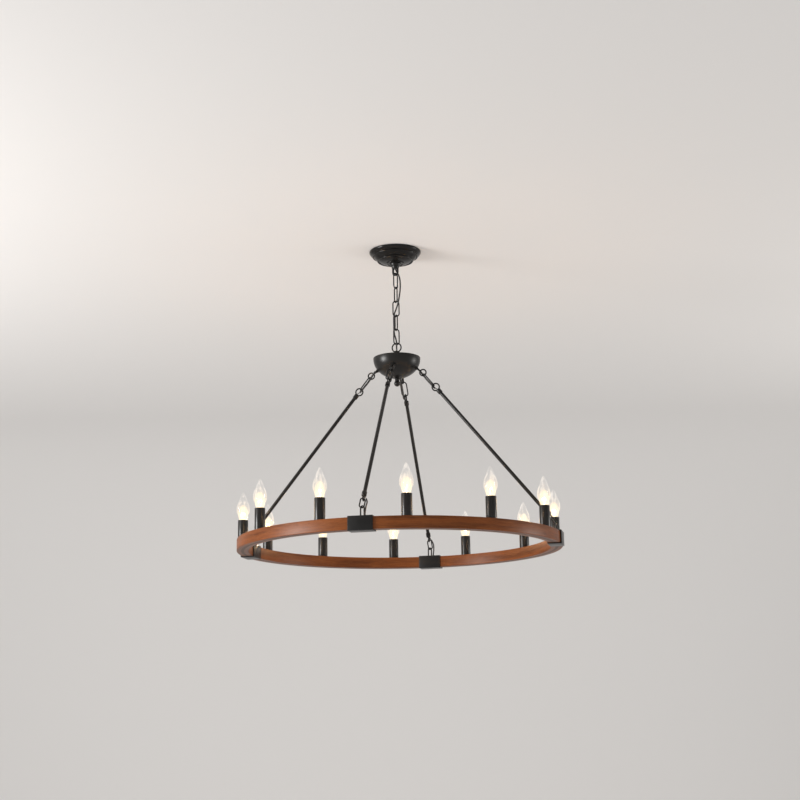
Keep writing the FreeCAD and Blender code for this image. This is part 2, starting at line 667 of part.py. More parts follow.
def make_eye_bolt_nuts():
    body = new_body("eye_bolt_nuts")
    reach = bolt_seat_radius - S.bowl_wall - S.bolt_nut_gap - S.bolt_nut_thickness
    place = Placement(bolt_seat + bolt_direction * reach, Rotation(Z_AXIS, bolt_direction))
    solid(body, "AdditivePrism", "nut", place, Circumradius=S.bolt_nut_radius,
          Height=S.bolt_nut_thickness).Polygon = 6
    DOC.recompute()
    nut = body.Tip
    bore = solid(body, "SubtractiveCylinder", "nut_bore", place, Radius=S.bolt_shank + S.thread_fit,
                 Height=S.bolt_nut_thickness)
    repeat_round(body, [nut, bore], ROD_COUNT)


# ---------------------------------------------------------------- rods

def make_upper_link(sector):
    body = new_body("upper_link_%d" % (sector + 1))
    centre = bolt_eye + hang_direction * (upper_link_start + upper_link_span / 2)
    place = Placement(centre, Rotation(Y_AXIS, X_AXIS, hang_direction, "ZXY"))
    oval_link(body, "upper_oval_%d" % (sector + 1), place, S.link_length, S.link_width, S.link_wire)
    body.Placement = turned(sector * TURN_OF_SECTOR)


def make_hanging_rod(sector):
    body = new_body("hanging_rod_%d" % (sector + 1))
    seat_depth = S.cap_end_wall + S.cap_space
    start = upper_eye + hang_direction * (S.upper_eye_radius - S.cap_sink + seat_depth)
    end = lower_eye - hang_direction * (S.lower_eye_radius - S.cap_sink + seat_depth)
    revolve(body, "rod_tube_%d" % (sector + 1),
            tube_outline(S.rod_radius, S.rod_bore, Dim.of(0), Dim.of((end - start).Length)),
            Placement(start, ALONG_HANG))
    body.Placement = turned(sector * TURN_OF_SECTOR)


def add_end_eye(body, name, centre, radius, direction, wire_side):
    """An eye with a cap that takes the rod's end; a side hole lets the wire out."""
    along = Rotation(Z_AXIS, direction)
    start = centre + direction * (radius - S.cap_sink)
    place = Placement(start, along)
    solid(body, "AdditiveTorus", name + "_eye", Placement(centre, Rotation(X_AXIS, 90)),
          Radius1=radius, Radius2=S.rod_eye_wire)
    DOC.recompute()
    revolve(body, name + "_cap", (
        (0, Dim.of(0)), (S.cap_radius - S.cap_edge, Dim.of(0)), (S.cap_radius, S.cap_edge),
        (S.cap_radius, S.cap_length), (S.rod_radius + S.rod_fit, S.cap_length),
        (S.rod_radius + S.rod_fit, S.cap_end_wall), (0, S.cap_end_wall)), place)
    DOC.recompute()
    side = Vector(0, S.wire_hole_offset * wire_side, 0)
    solid(body, "SubtractiveCylinder", name + "_wire_hole",
          Placement(start + side - direction * S.rod_eye_wire * 2, along),
          Radius=S.wire_hole, Height=S.cap_end_wall + S.rod_eye_wire * 2)


def make_rod_end_eyes(sector):
    body = new_body("rod_end_eyes_%d" % (sector + 1))
    add_end_eye(body, "upper_%d" % (sector + 1), upper_eye, S.upper_eye_radius, hang_direction, 1)
    add_end_eye(body, "lower_%d" % (sector + 1), lower_eye, S.lower_eye_radius, -hang_direction,
                WIRE_SIDES[sector])
    body.Placement = turned(sector * TURN_OF_SECTOR)


# ---------------------------------------------------------------- wheel

def make_rim_segment(sector):
    """A quarter of the timber rim with a wiring groove underneath."""
    body = new_body("rim_segment_%d" % (sector + 1))
    mid = S.wheel_mid_radius
    inner = mid - S.rim_width / 2
    outer = mid + S.rim_width / 2
    edge = S.rim_edge
    groove = S.groove_width / 2
    span = TURN_OF_SECTOR - 2 * joint_half_angle
    revolve(body, "rim_arc_%d" % (sector + 1), (
        (inner, rim_bottom + edge, edge), (inner + edge, rim_bottom),
        (mid - groove, rim_bottom), (mid - groove, groove_top), (mid + groove, groove_top),
        (mid + groove, rim_bottom), (outer - edge, rim_bottom, edge),
        (outer, rim_bottom + edge), (outer, rim_top - edge, edge), (outer - edge, rim_top),
        (inner + edge, rim_top, edge), (inner, rim_top - edge)),
        turned(joint_half_angle), span)
    DOC.recompute()
    for side, turn in ((1, 0), (-1, TURN_OF_SECTOR)):
        place = turned(turn).multiply(at(mid, S.clamp_screw_offset * side, rim_top - S.clamp_screw_length))
        solid(body, "SubtractiveCylinder", "pilot_hole_%d_%d" % (sector + 1, side + 1), place,
              Radius=S.clamp_screw_radius + S.thread_fit, Height=S.clamp_screw_length)
    DOC.recompute()
    place = turned(FIRST_CANDLE).multiply(at(mid, 0, groove_top))
    hole = solid(body, "SubtractiveCylinder", "nipple_hole_%d" % (sector + 1), place,
                 Radius=S.nipple_radius + S.seat_gap, Height=S.rim_height - S.groove_depth)
    per_sector = CANDLE_COUNT // ROD_COUNT
    repeat_round(body, [hole], per_sector, 360 / CANDLE_COUNT * (per_sector - 1))
    body.Placement = turned(sector * TURN_OF_SECTOR)


def make_rim_clamps():
    """Four straight box sleeves over the joints of the rim."""
    body = new_body("rim_clamps")
    mid = S.wheel_mid_radius
    outer_bend = mid + S.rim_width / 2
    inner_bend = mid - S.rim_width / 2
    ends = S.clamp_length / 2
    inner_reach = math.sqrt(inner_bend * inner_bend - ends * ends) - S.clamp_fit
    outer_reach = outer_bend + S.clamp_fit
    width = Dim.of(outer_reach - inner_reach)
    box = solid(body, "AdditiveBox", "sleeve", at(inner_reach - S.clamp_wall, -ends, clamp_bottom),
                Length=width + 2 * S.clamp_wall, Width=S.clamp_length, Height=clamp_top - clamp_bottom)
    DOC.recompute()
    hollow = solid(body, "SubtractiveBox", "opening",
                   at(inner_reach, -ends, clamp_bottom + S.clamp_wall),
                   Length=width, Width=S.clamp_length,
                   Height=clamp_top - clamp_bottom - 2 * S.clamp_wall)
    holes = [box, hollow]
    for side in (-1, 1):
        holes.append(solid(body, "SubtractiveCylinder", "screw_hole_%d" % (side + 1),
                           at(mid, S.clamp_screw_offset * side, clamp_top - S.clamp_wall),
                           Radius=S.clamp_screw_radius + S.clamp_hole_fit, Height=S.clamp_wall))
        leg = staple_leg(side)
        holes.append(solid(body, "SubtractiveCylinder", "leg_hole_%d" % (side + 1),
                           at(leg.x, leg.y, clamp_top - S.clamp_wall),
                           Radius=S.staple_wire + S.thread_fit, Height=S.clamp_wall))
    repeat_round(body, holes, ROD_COUNT)
    for sector, side in enumerate(WIRE_SIDES):
        solid(body, "SubtractiveCylinder", "wire_hole_%d" % (sector + 1),
              turned(sector * TURN_OF_SECTOR).multiply(
                  at(mid, S.clamp_wire_offset * side, clamp_top - S.clamp_wall)),
              Radius=S.wire_hole, Height=S.clamp_wall)


def make_clamp_screws():
    body = new_body("clamp_screws")
    screws = []
    top = clamp_top
    for side in (-1, 1):
        screws.append(revolve(body, "screw_%d" % (side + 1), (
            (0, rim_top - S.clamp_screw_length + S.seat_gap),
            (S.clamp_screw_radius, rim_top - S.clamp_screw_length + S.seat_gap),
            (S.clamp_screw_radius, top), (S.clamp_screw_head, top),
            (S.clamp_screw_head, top + S.clamp_screw_head_height / 2),
            (S.clamp_screw_head / 2, top + S.clamp_screw_head_height),
            (0, top + S.clamp_screw_head_height)),
            at(S.wheel_mid_radius, S.clamp_screw_offset * side)))
        DOC.recompute()
    repeat_round(body, screws, ROD_COUNT)


def staple_leg(side):
    """Where one leg of the staple goes through the clamp."""
    return staple_centre + staple_across * (S.staple_radius * side)


def make_clamp_loops():
    """Staples of round wire, riveted under the clamps' top plates."""
    body = new_body("clamp_loops")
    radius = float(S.staple_radius)
    legs = staple_centre.z - float(clamp_top - S.clamp_wall - S.staple_rivet_height)
    place = Placement(staple_centre, Rotation(Z_AXIS, 90 + S.staple_turn))
    path = (
        Part.LineSegment(Vector(radius, -legs, 0), Vector(radius, 0, 0)),
        Part.ArcOfCircle(Part.Circle(Vector(), Z_AXIS, radius), 0, math.pi),
        Part.LineSegment(Vector(-radius, 0, 0), Vector(-radius, -legs, 0)),
    )
    pieces = [wire_path(body, "staple", place, path, Vector(radius, 0, -legs), S.staple_wire, 0)]
    DOC.recompute()
    under = clamp_top - S.clamp_wall - S.staple_rivet_height
    for side in (-1, 1):
        leg = staple_leg(side)
        pieces.append(solid(body, "AdditiveCylinder", "rivet_%d" % (side + 1), at(leg.x, leg.y, under),
                            Radius=S.staple_rivet, Height=S.staple_rivet_height))
        DOC.recompute()
    repeat_round(body, pieces, ROD_COUNT)


def make_clamp_links():
    body = new_body("clamp_links")
    centre = hook + hang_direction * (clamp_link_end - clamp_link_span / 2)
    across = Rotation(Y_AXIS, X_AXIS, hang_direction, "ZXY")
    place = Placement(centre, across.multiply(Rotation(Z_AXIS, S.clamp_link_turn)))
    link = oval_link(body, "clamp_oval", place, S.clamp_link_length, S.clamp_link_width, S.link_wire)
    repeat_round(body, [link], ROD_COUNT)


def make_groove_covers():
    body = new_body("groove_covers")
    half = S.groove_width / 2 - S.groove_fit
    strip = revolve(body, "strip", tube_outline(
        S.wheel_mid_radius + half, S.wheel_mid_radius - half, rim_bottom, rim_bottom + S.groove_cover),
        turned(joint_half_angle), TURN_OF_SECTOR - 2 * joint_half_angle)
    repeat_round(body, [strip], ROD_COUNT)


def make_rim_harness():
    """A wire in each quarter's groove; its ends come out between the arcs."""
    body = new_body("rim_harness")
    height = rim_bottom + S.groove_cover + S.harness_wire + S.seat_gap
    start = joint_half_angle * HARNESS_END_SHARE
    wire = solid(body, "AdditiveTorus", "wire", at(z=height).multiply(turned(start)),
                 Radius1=S.wheel_mid_radius, Radius2=S.harness_wire)
    wire.Angle3 = TURN_OF_SECTOR - 2 * start
    repeat_round(body, [wire], ROD_COUNT)


# ---------------------------------------------------------------- candles

def candle_place():
    return turned(FIRST_CANDLE).multiply(at(S.wheel_mid_radius))


def make_candle_sleeves():
    body = new_body("candle_sleeves")
    sleeve = revolve(body, "sleeve", tube_outline(
        S.sleeve_radius, S.sleeve_radius - S.sleeve_wall, rim_top, rim_top + S.sleeve_height),
        candle_place())
    repeat_round(body, [sleeve], CANDLE_COUNT)


def make_lamp_sockets():
    """A foot that centres the sleeve, and a body with the bulb's bore and a stud bore below."""
    body = new_body("lamp_sockets")
    foot = S.sleeve_radius - S.sleeve_wall - S.sleeve_fit
    bore = S.base_radius + S.bulb_fit
    stud = S.nipple_radius + S.thread_fit
    top = rim_top + S.socket_height
    floor = top - S.socket_bore_depth
    stud_end = rim_top + S.socket_nipple_depth + S.seat_gap
    socket = revolve(body, "socket", (
        (stud, rim_top), (foot, rim_top), (foot, rim_top + S.socket_foot),
        (S.socket_radius, rim_top + S.socket_foot), (S.socket_radius, top), (bore, top),
        (bore, floor), (0, floor), (0, stud_end), (stud, stud_end)), candle_place())
    repeat_round(body, [socket], CANDLE_COUNT)


def make_socket_nipples():
    body = new_body("socket_nipples")
    nipple = revolve(body, "nipple", tube_outline(
        S.nipple_radius, S.socket_nipple_bore, groove_top, rim_top + S.socket_nipple_depth),
        candle_place())
    repeat_round(body, [nipple], CANDLE_COUNT)


def make_bulb(number):
    """A candle bulb with a flame tip, standing on its own axis."""
    body = new_body("bulb_%02d" % (number + 1))
    base = S.base_length
    shoulder = base + S.bulb_shoulder
    mouth = S.bulb_neck_radius
    widest = S.bulb_widest + base
    top = S.bulb_height + base
    narrow, high = BULB_NECK_SHARES
    neck_height = widest + (top - widest) * high
    neck_radius = S.bulb_radius * narrow
    revolve(body, "bulb_%02d_shape" % (number + 1), (
        (0, Dim.of(0)), (S.base_radius * BASE_POINT_SHARE, Dim.of(0)), (S.base_radius, S.base_point),
        (S.base_radius, base), (mouth, shoulder, -S.bulb_neck_arc),
        (S.bulb_radius, widest, S.bulb_belly_arc), (neck_radius, neck_height, -S.bulb_tip_arc),
        (S.bulb_tip, top - S.bulb_tip), (0, top)))
    floor = rim_top + S.socket_height - S.socket_bore_depth + S.bulb_seat_gap
    turn = turned(FIRST_CANDLE + 360 / CANDLE_COUNT * number)
    body.Placement = turn.multiply(at(S.wheel_mid_radius, 0, floor))


# ---------------------------------------------------------------- wires from the bowl to the wheel

def hang_point(origin, along, across, outward):
    """A point by its distance along the hang line, sideways, and square to both."""
    square = hang_direction.cross(Y_AXIS) * -1
    return origin + hang_direction * along + Y_AXIS * across + square * outward


wire_inside = Vector(50, 6.5, bowl_rim - 27.3)
wire_outside = Vector(61, 7, bowl_rim - 33.3)


def wire_hole_place():
    """The wire's hole in the bowl, beside the eye bolt."""
    direction = (wire_outside - wire_inside).normalize()
    return Placement(wire_inside - direction * S.bowl_wall, Rotation(Z_AXIS, direction))


def wire_route(side):
    """From the cord's end in the stem, along the upper link, through the rod, to the clamp."""
    hole = S.wire_hole_offset
    upper_cap = upper_eye + hang_direction * (S.upper_eye_radius - S.cap_sink)
    lower_cap = lower_eye - hang_direction * (S.lower_eye_radius - S.cap_sink)
    inside_bowl = [Vector(1.75, 0, bowl_rim - 13.5), Vector(2, 0, bowl_rim - 20.8),
                   Vector(7.5, 0.1, bowl_rim - 25.8), Vector(14, 1, bowl_rim - 27.1),
                   Vector(24, 3, bowl_rim - 26.6), Vector(36.5, 5.4, bowl_rim - 25),
                   wire_inside, wire_outside]
    beside_link = [hang_point(bolt_eye, -6, 6.2, 3.2), hang_point(bolt_eye, 8, 4.8, 4.8),
                   hang_point(bolt_eye, 24, 4.4, 5.2), hang_point(bolt_eye, 41, 4.8, 4.4),
                   hang_point(upper_eye, -1, 4.8, 4.6)]
    through_rod = [hang_point(upper_cap, -4.5, 3.9, 0.7), hang_point(upper_cap, 2.4, hole, 0),
                   hang_point(upper_cap, 9, 1.5, 0), hang_point(upper_cap, 22, 1.2, 0.2),
                   hang_point(lower_cap, -22, 1.2 * side, 0.2),
                   hang_point(lower_cap, -9, 1.5 * side, 0), hang_point(lower_cap, -2.4, hole * side, 0)]
    mid = S.wheel_mid_radius
    offset = S.clamp_wire_offset
    into_clamp = [hang_point(lower_cap, 1.3, (hole + 0.2) * side, 0.1),
                  hang_point(lower_eye, -1.5, 5.4 * side, 2.2), hang_point(lower_eye, 7, 9.6 * side, 3.4),
                  hang_point(lower_eye, 17, 11.8 * side, 2.4), hang_point(lower_eye, 26, 11.6 * side, 0.6),
                  Vector(mid + 1, (offset + 1.7) * side, clamp_top + 17),
                  Vector(mid, (offset + 0.1) * side, clamp_top + 7),
                  Vector(mid, offset * side, clamp_top - S.clamp_wall - 4),
                  Vector(mid - 0.3, (offset - 0.2) * side, rim_bottom + 9)]
    return [tuple(point) for point in inside_bowl + beside_link + through_rod + into_clamp]


def make_rod_wires():
    wires = []
    for sector, side in enumerate(WIRE_SIDES):
        wire = tube_along(wire_route(side), S.wire_radius, "rod wire %d" % (sector + 1))
        wire.rotate(Vector(), Z_AXIS, sector * TURN_OF_SECTOR)
        wires.append(wire)
    plain_node("rod_wires", Part.Compound(wires))


# ---------------------------------------------------------------- the whole lamp

def build():
    make_mounting_bar()
    make_hanging_nipple()
    make_nipple_locknuts()
    make_ground_screw()
    make_canopy()
    make_screw_collar()
    make_canopy_loop()
    make_chain()
    make_supply_cord()
    make_bowl_shell()
    make_bowl_cover()
    make_bowl_loop()
    make_centre_stem()
    make_stem_nuts()
    make_ball_finial()
    make_eye_bolts()
    make_eye_bolt_nuts()
    for sector in range(ROD_COUNT):
        make_upper_link(sector)
        make_hanging_rod(sector)
        make_rod_end_eyes(sector)
        make_rim_segment(sector)
    make_rim_clamps()
    make_clamp_screws()
    make_clamp_loops()
    make_clamp_links()
    make_groove_covers()
    make_rim_harness()
    make_candle_sleeves()
    make_lamp_sockets()
    make_socket_nipples()
    make_rod_wires()
    for number in range(CANDLE_COUNT):
        make_bulb(number)
    DOC.recompute()


def check_document():
    """Stop before anything is written if an object failed or a node has no sound shape."""
    for item in DOC.Objects:
        if {"Invalid", "Error"} & set(item.State):
            raise RuntimeError("%s failed: %s" % (item.Label, item.State))
    for node in NODES:
        if node.Shape.isNull() or not node.Shape.isValid():
            raise RuntimeError("%s has no valid shape" % node.Label)


def export_nodes():
    os.makedirs("parts", exist_ok=True)
    for node in NODES:
        node.Shape.exportStep(os.path.join("parts", node.Label + ".step"))
        print("%-18s %2d solids %12.1f mm3" % (node.Label, len(node.Shape.Solids), node.Shape.Volume))


build()
check_document()
export_nodes()
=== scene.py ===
"""Looks of the wagon wheel chandelier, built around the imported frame.

Sizes are in millimetres while a mesh is shaped, and each mesh is brought to metres as it is
finished. The ceiling plane is z = 0, rod 1 hangs over +X and the rods are counted
counter-clockwise.
"""
import logging
import math
from collections.abc import Callable, Iterable, Sequence
from dataclasses import dataclass, field
from enum import Enum

import bmesh
import bpy
from mathutils import Matrix, Vector


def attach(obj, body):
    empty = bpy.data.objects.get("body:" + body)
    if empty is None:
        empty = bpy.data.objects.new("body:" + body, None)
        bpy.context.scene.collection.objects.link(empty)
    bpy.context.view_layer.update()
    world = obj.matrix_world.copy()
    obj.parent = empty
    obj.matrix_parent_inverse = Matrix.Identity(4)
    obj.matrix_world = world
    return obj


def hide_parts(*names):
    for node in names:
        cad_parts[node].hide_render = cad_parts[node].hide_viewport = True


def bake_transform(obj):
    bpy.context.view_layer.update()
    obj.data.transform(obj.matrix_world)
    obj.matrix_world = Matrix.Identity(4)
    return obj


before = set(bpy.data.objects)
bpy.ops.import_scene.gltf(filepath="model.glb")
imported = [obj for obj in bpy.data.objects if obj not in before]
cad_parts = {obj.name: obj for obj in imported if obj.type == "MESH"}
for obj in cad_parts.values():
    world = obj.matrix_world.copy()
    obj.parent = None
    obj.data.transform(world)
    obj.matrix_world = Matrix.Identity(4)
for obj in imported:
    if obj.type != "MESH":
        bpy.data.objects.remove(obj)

LOG = logging.getLogger("chandelier")
Profile = Sequence[tuple[float, float]]
Colour = tuple[float, float, float]
Point = tuple[float, float, float]
Mesh = bmesh.types.BMesh
Edges = list[bmesh.types.BMEdge]
Socket = bpy.types.NodeSocket

METRES_PER_MM = 0.001
FULL_TURN = 2 * math.pi
SHARP_CREASE = math.radians(38)
SHORTEST_RUN = 0.25
BEND_STEPS = 18
ROD_COUNT = 4
CANDLE_COUNT = 12
GLOW_CROSSINGS = 48
X_AXIS = Vector((1, 0, 0))
Y_AXIS = Vector((0, 1, 0))
Z_AXIS = Vector((0, 0, 1))


# ------------------------------------------------------------------ finishes

class Graph:
    """A node tree, with short calls for the nodes that the finishes and the world share."""

    def __init__(self, name: str, family: object = None, output: str = "OutputMaterial") -> None:
        """Start an empty tree in a new material, or in a new member of another family.

        Args:
            name: the owner's name.
            family: where the owner is made, or None for the materials.
            output: the type of the last node after "ShaderNode".
        """
        family = bpy.data.materials if family is None else family
        self.owner = family.new(name)
        self.owner.use_nodes = True
        self.tree = self.owner.node_tree
        self.tree.nodes.clear()
        self.output = self.node(output)

    def node(self, kind: str, inputs: dict | None = None, **settings: object) -> bpy.types.Node:
        """Add a node.

        Args:
            kind: the node's type after "ShaderNode".
            inputs: sockets by name or number, each a value, a colour or another node's output.
            settings: properties of the node.

        Returns:
            The new node.
        """
        made = self.tree.nodes.new("ShaderNode" + kind)
        for key, value in settings.items():
            setattr(made, key, value)
        for key, value in (inputs or {}).items():
            socket = made.inputs[key]
            if isinstance(value, Socket):
                self.tree.links.new(value, socket)
            else:
                socket.default_value = (*value, 1.0) if socket.type == "RGBA" else value
        return made

    def close(self, shader: Socket) -> bpy.types.ID:
        """Join a shader to the output and give what the tree belongs to."""
        self.tree.links.new(shader, self.output.inputs["Surface"])
        return self.owner

    def place(self) -> Socket:
        """The point on the object, in metres."""
        return self.node("TexCoord").outputs["Object"]

    def noise(self, where: Socket, scale: float, detail: float = 3.0) -> Socket:
        """Fine random variation from 0 to 1 at a point."""
        return self.node("TexNoise", {"Vector": where, "Scale": scale, "Detail": detail}).outputs[0]

    def grain(self, where: Socket, scales: Sequence[float], detail: float) -> Socket:
        """Noise with a scale of its own along each axis."""
        stretched = self.node("Mapping", {"Vector": where, "Scale": scales}).outputs[0]
        return self.noise(stretched, 1.0, detail)

    def blend(self, share: Socket | float, low: object, high: object) -> Socket:
        """A colour between two colours."""
        return self.node("Mix", {0: share, 6: low, 7: high}, data_type="RGBA").outputs[2]

    def spread(self, value: Socket, low: float, high: float) -> Socket:
        """A value from 0 to 1 brought to the span from low to high."""
        return self.node("MapRange", {"Value": value, "To Min": low, "To Max": high}).outputs[0]

    def narrow(self, value: Socket, low: float, high: float) -> Socket:
        """0 below low, 1 above high and a ramp between them."""
        return self.node("MapRange", {"Value": value, "From Min": low, "From Max": high}).outputs[0]

    def sum_of(self, kind: str, first: object, second: object = 0.0) -> Socket:
        """One step of arithmetic, such as ADD or MULTIPLY."""
        return self.node("Math", {0: first, 1: second}, operation=kind).outputs[0]

    def times(self, first: object, second: object) -> Socket:
        """The product of two values."""
        return self.sum_of("MULTIPLY", first, second)

    def bump(self, height: Socket, strength: float, depth: float) -> Socket:
        """A normal from a height, with its depth in metres."""
        inputs = {"Height": height, "Strength": strength, "Distance": depth}
        return self.node("Bump", inputs).outputs[0]

    def surface(self, **inputs: object) -> bpy.types.Material:
        """Close the tree with the main shader; words joined by _ are its socket names."""
        sockets = {key.replace("_", " "): value for key, value in inputs.items()}
        return self.close(self.node("BsdfPrincipled", sockets).outputs[0])


@dataclass(frozen=True)
class PowderCoat:
    """Satin black powder coat on iron, with its fine orange peel."""

    name: str = "black_powder_coat"
    dark: Colour = (0.0042, 0.0039, 0.0036)
    pale: Colour = (0.0085, 0.0080, 0.0076)
    roughness: tuple[float, float] = (0.27, 0.38)
    grain: float = 1500.0
    specular: float = 0.28

    def material(self) -> bpy.types.Material:
        """Build the node tree.

        Returns:
            The material.
        """
        g = Graph(self.name)
        where = g.place()
        clouds = g.noise(where, 60.0)
        peel = g.noise(where, self.grain, 2.0)
        return g.surface(Base_Color=g.blend(clouds, self.dark, self.pale),
                         Roughness=g.spread(clouds, *self.roughness),
                         Normal=g.bump(peel, 0.12, 0.00006), Specular_IOR_Level=self.specular)


@dataclass(frozen=True)
class SleeveLacquer:
    """Black lacquer on drawn tube, with faint marks along its length."""

    name: str = "black_sleeve_lacquer"
    dark: Colour = (0.0045, 0.0038, 0.0034)
    pale: Colour = (0.0095, 0.0082, 0.0074)

    def material(self) -> bpy.types.Material:
        """Build the node tree.

        Returns:
            The material.
        """
        g = Graph(self.name)
        drawn = g.grain(g.place(), (900.0, 900.0, 14.0), 2.0)
        return g.surface(Base_Color=g.blend(drawn, self.dark, self.pale),
                         Roughness=g.spread(drawn, 0.22, 0.34), Specular_IOR_Level=0.32,
                         Normal=g.bump(drawn, 0.15, 0.00008))


@dataclass(frozen=True)
class StainedWood:
    """Red-brown stained timber whose grain follows the rim round."""

    name: str = "stained_walnut_rim"
    rim_radius: float = 0.4406
    dark: Colour = (0.082, 0.021, 0.0042)
    middle: Colour = (0.172, 0.046, 0.0095)
    pale: Colour = (0.275, 0.090, 0.0240)
    pore: Colour = (0.028, 0.008, 0.0025)

    def material(self) -> bpy.types.Material:
        """Build the node tree.

        Returns:
            The material.
        """
        g = Graph(self.name)
        where = g.place()
        parts = g.node("SeparateXYZ", {0: where})
        angle = g.sum_of("ARCTAN2", parts.outputs[1], parts.outputs[0])
        along = g.times(angle, self.rim_radius)
        square = g.node("CombineXYZ", {0: parts.outputs[0], 1: parts.outputs[1]}).outputs[0]
        across = g.node("VectorMath", {0: square}, operation="LENGTH").outputs["Value"]
        board = g.node("CombineXYZ", {0: along, 1: across, 2: parts.outputs[2]}).outputs[0]
        wander = g.grain(board, (5.0, 30.0, 30.0), 2.0)
        shifted = g.node("VectorMath", {0: board, 1: g.node("CombineXYZ", {
            1: g.spread(wander, -0.006, 0.006), 2: g.spread(wander, -0.004, 0.004)}).outputs[0]},
            operation="ADD").outputs[0]
        bands = g.grain(shifted, (3.5, 95.0, 95.0), 4.0)
        fibres = g.grain(shifted, (26.0, 900.0, 900.0), 3.0)
        pores = g.narrow(g.grain(shifted, (70.0, 1500.0, 1500.0), 1.0), 0.62, 0.74)
        blotch = g.grain(board, (9.0, 12.0, 12.0), 2.0)
        tone = g.blend(g.narrow(bands, 0.34, 0.62), self.dark, self.middle)
        tone = g.blend(g.times(g.narrow(fibres, 0.42, 0.75), 0.55), tone, self.pale)
        tone = g.blend(g.times(g.narrow(blotch, 0.45, 0.8), 0.4), tone, self.pale)
        tone = g.blend(g.times(pores, 0.55), tone, self.pore)
        height = g.sum_of("ADD", g.times(fibres, 0.5), g.times(pores, -0.6))
        return g.surface(Base_Color=tone, Roughness=g.spread(fibres, 0.30, 0.44),
                         Normal=g.bump(height, 0.22, 0.0002), Specular_IOR_Level=0.16)


@dataclass(frozen=True)
class ClearGlass:
    """Thin clear glass with painted light: a painted rim highlight, painted glint streaks, and a
    warm painted glow from the filament that thins out above it.
    """

    name: str = "clear_bulb_glass"
    lit_height: float = 46.0
    # The next four: strength of the painted glow from the filament, strength of the painted glint
    # streaks, and the glow's painted colours high and low.
    painted_glow_veil: float = 0.13
    painted_glint_streaks: float = 0.26
    painted_glow_high_tone: Colour = (1.0, 0.93, 0.85)
    painted_glow_low_tone: Colour = (1.0, 0.86, 0.66)

    def material(self) -> bpy.types.Material:
        """Build the node tree.

        Returns:
            The material.
        """
        g = Graph(self.name)
        where = g.place()
        # The glass shows mostly by its emission through its cover, so the rim highlight, the glint
        # streaks and the glow below are painted light.
        edge = g.node("LayerWeight", {"Blend": 0.32}).outputs["Facing"]
        ribs = g.grain(where, (150.0, 150.0, 9.0), 1.0)
        painted_glint_streaks = g.times(g.narrow(ribs, 0.52, 0.64), self.painted_glint_streaks)
        height = g.node("SeparateXYZ", {0: where}).outputs[2]
        level = LEVELS.filament_level * METRES_PER_MM
        # Painted glow from the filament: full at and below its height, fading out above it.
        lit = g.narrow(height, level + self.lit_height * METRES_PER_MM, level)
        painted_glow = g.times(g.sum_of("POWER", lit, 1.6), self.painted_glow_veil)
        # Painted rim highlight, brighter where the glass is seen edge on.
        painted_rim_highlight = g.spread(g.sum_of("POWER", edge, 2.2), 0.03, 0.26)
        cover = g.sum_of("ADD", g.sum_of("ADD", painted_rim_highlight, painted_glow), painted_glint_streaks)
        tone = g.blend(lit, self.painted_glow_high_tone, self.painted_glow_low_tone)
        # Dark base so the lamps hardly light the glass; its light is painted by the emission.
        material = g.surface(Base_Color=(0.02, 0.02, 0.02), Roughness=0.05, Alpha=cover,
                             Emission_Color=tone, Emission_Strength=0.98,
                             IOR=1.45, Coat_Weight=0.3, Coat_Roughness=0.03)
        material.surface_render_method = "BLENDED"
        return material


@dataclass(frozen=True)
class Glow:
    """A lit surface of one colour."""

    name: str
    colour: Colour
    strength: float

    def material(self) -> bpy.types.Material:
        """Build the node tree.

        Returns:
            The material.
        """
        g = Graph(self.name)
        return g.surface(Base_Color=self.colour, Emission_Color=self.colour,
                         Emission_Strength=self.strength, Roughness=0.6)


@dataclass(frozen=True)
class Halo:
    """One thin layer of the soft light round a filament; the layers add up to its core."""

    name: str = "filament_halo"
    colour: Colour = (1.0, 0.76, 0.44)
    strength: float = 2.4
    cover: float = 0.11

    def material(self) -> bpy.types.Material:
        """Build the node tree.

        Returns:
            The material.
        """
        g = Graph(self.name)
        material = g.surface(Base_Color=(0.0, 0.0, 0.0), Emission_Color=self.colour,
                             Emission_Strength=self.strength, Alpha=self.cover, Roughness=1.0,
                             Specular_IOR_Level=0.0)
        material.surface_render_method = "BLENDED"
        return material


@dataclass(frozen=True)
class BareMetal:
    """Plated or bare metal with fine scratches."""

    name: str
    colour: Colour
    roughness: float = 0.34

    def material(self) -> bpy.types.Material:
        """Build the node tree.

        Returns:
            The material.
        """
        g = Graph(self.name)
        wear = g.grain(g.place(), (260.0, 260.0, 900.0), 4.0)
        shade = tuple(0.72 * part for part in self.colour)
        return g.surface(Base_Color=g.blend(wear, shade, self.colour), Metallic=1.0,
                         Roughness=g.spread(wear, self.roughness - 0.08, self.roughness + 0.12),
                         Normal=g.bump(wear, 0.12, 0.0001))


@dataclass(frozen=True)
class MouldedPlastic:
    """Moulded plastic or insulation with a fine texture."""

    name: str
    colour: Colour
    roughness: float = 0.5
    grain: float = 900.0

    def material(self) -> bpy.types.Material:
        """Build the node tree.

        Returns:
            The material.
        """
        g = Graph(self.name)
        grain = g.noise(g.place(), self.grain, 2.0)
        pale = tuple(1.35 * part for part in self.colour)
        return g.surface(Base_Color=g.blend(grain, self.colour, pale),
                         Roughness=g.spread(grain, self.roughness - 0.06, self.roughness + 0.06),
                         Normal=g.bump(grain, 0.2, 0.00008))


